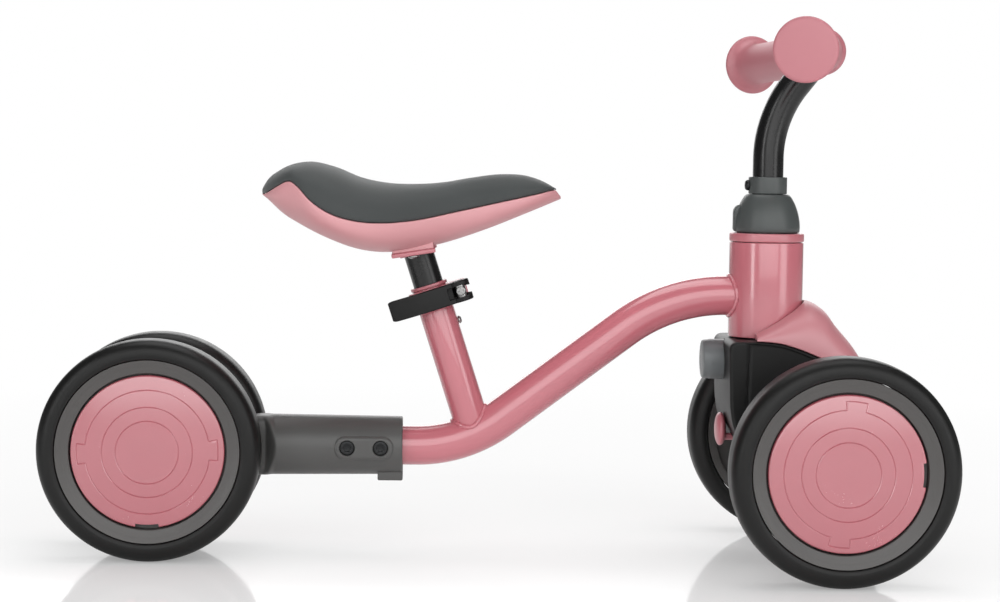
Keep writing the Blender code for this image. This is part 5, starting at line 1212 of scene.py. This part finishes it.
FLOOR_WHITE = (0.95, 0.95, 0.95)
FLOOR_GLOW = (0.30, 1.0)
FADE_START, FADE_END = 0.35, 1.1
FLOOR_SIDE, FLOOR_NEAR, FLOOR_FAR = 9000.0, -3000.0, 15000.0
floor_grid = np.array([[(-FLOOR_SIDE, y, 0), (FLOOR_SIDE, y, 0)] for y in (FLOOR_NEAR, FLOOR_FAR)])
floor = skin("studio_floor", floor_grid, around=False)
board = Recipe("white_floor", ior=1.45)
board.shader.inputs["Base Color"].default_value = (*FLOOR_WHITE, 1)
board.rough(0.05 + board.noise(900.0) * 0.03)
glow = board.node("ShaderNodeEmission", None, {"Color": (1, 1, 1, 1), "Strength": 1.0})
seen = board.node("ShaderNodeLightPath", output="Is Camera Ray")
distance = board.node("ShaderNodeVectorMath", {"operation": "LENGTH"}, {0: board.place}, "Value")
far = board.ramp(distance, (FADE_START, FADE_END), FLOOR_GLOW)
dull = board.node("ShaderNodeBsdfDiffuse", None, {"Color": (*FLOOR_WHITE, 1)})
polished = board.node("ShaderNodeMixShader", None, {0: far, 1: Wire(board, board.shader.outputs[0]), 2: glow})
blend = board.node("ShaderNodeMixShader", None, {0: seen, 1: dull, 2: polished})
board.feed(board.tree.nodes["Material Output"].inputs["Surface"], blend)
floor.data.materials.append(board.material)

SKY_STRENGTH = 0.30
SKY_IN_GLOSS = 0.12
BACKDROP = (0.78, 0.92)
world = bpy.data.worlds.new("studio")
bpy.context.scene.world = world
world.use_nodes = True


class Sky(Recipe):
    """The world's light, made with the same nodes as a material."""

    def __init__(self, world):
        self.tree = world.node_tree
        self.shader = self.tree.nodes["Background"]
        self.shader.inputs["Color"].default_value = (1, 1, 1, 1)


air = Sky(world)
toward = air.node("ShaderNodeTexCoord", output="Generated")
depth = air.node("ShaderNodeSeparateXYZ", None, {0: toward}, "Y")
wall = air.ramp(depth, BACKDROP, (SKY_IN_GLOSS, 1.0), interpolation_type="SMOOTHSTEP")
mirrored = air.node("ShaderNodeLightPath", output="Is Glossy Ray")
direct = air.node("ShaderNodeLightPath", output="Is Camera Ray")
through = air.node("ShaderNodeLightPath", output="Is Transmission Ray")
open_air = direct + through
on_bike = mirrored * wall + (1 - mirrored) * SKY_STRENGTH
air.feed(air.shader.inputs["Strength"], open_air + (1 - open_air) * on_bike)

# Name, place and target in metres, width and height of the box in metres, power in watts.
LAMPS = (("overhead", (0.10, 0.15, 1.9), (0.0, 0.0, 0.1), 1.9, 1.3, 17.0),
         ("front_box", (0.10, -2.10, 0.88), (0.0, 0.0, 0.2), 2.6, 1.5, 27.0),
         ("left_strip", (-1.35, -1.25, 0.60), (0.0, 0.0, 0.15), 0.34, 1.5, 7.6),
         ("right_box", (1.45, -1.20, 0.60), (0.05, 0.0, 0.15), 0.70, 1.5, 8.5),
         ("back_box", (0.20, 2.30, 1.10), (0.0, 0.0, 0.2), 2.4, 1.2, 16.0))
for name, place, target, width, height, power in LAMPS:
    lamp = bpy.data.lights.new(name, "AREA")
    lamp.shape, lamp.size, lamp.size_y, lamp.energy = "RECTANGLE", width, height, power
    holder = bpy.data.objects.new(name, lamp)
    bpy.context.scene.collection.objects.link(holder)
    holder.location = place
    holder.rotation_euler = (Vector(target) - Vector(place)).to_track_quat("-Z", "Y").to_euler()

CAMERA_PLACE = (-0.04388, -1.41998, 0.25407)
YAW, PITCH, ROLL = 0.0361, -0.0632, 0.014
LENS = 79.85
forward = np.array([math.sin(YAW) * math.cos(PITCH), math.cos(YAW) * math.cos(PITCH), math.sin(PITCH)])
level_right = np.array([math.cos(YAW), -math.sin(YAW), 0])
level_up = np.cross(level_right, forward)
right = level_right * math.cos(ROLL) + level_up * math.sin(ROLL)
up = level_up * math.cos(ROLL) - level_right * math.sin(ROLL)
view = bpy.data.cameras.new("camera")
view.lens, view.sensor_width, view.clip_start, view.clip_end = LENS, 36.0, 0.05, 60.0
camera = bpy.data.objects.new("camera", view)
bpy.context.scene.collection.objects.link(camera)
turn_and_place = np.stack([right, up, -forward, CAMERA_PLACE], 1)
camera.matrix_world = Matrix(np.vstack([turn_and_place, [0, 0, 0, 1]]).tolist())
bpy.context.scene.camera = camera
bpy.context.scene.view_settings.view_transform = "Standard"
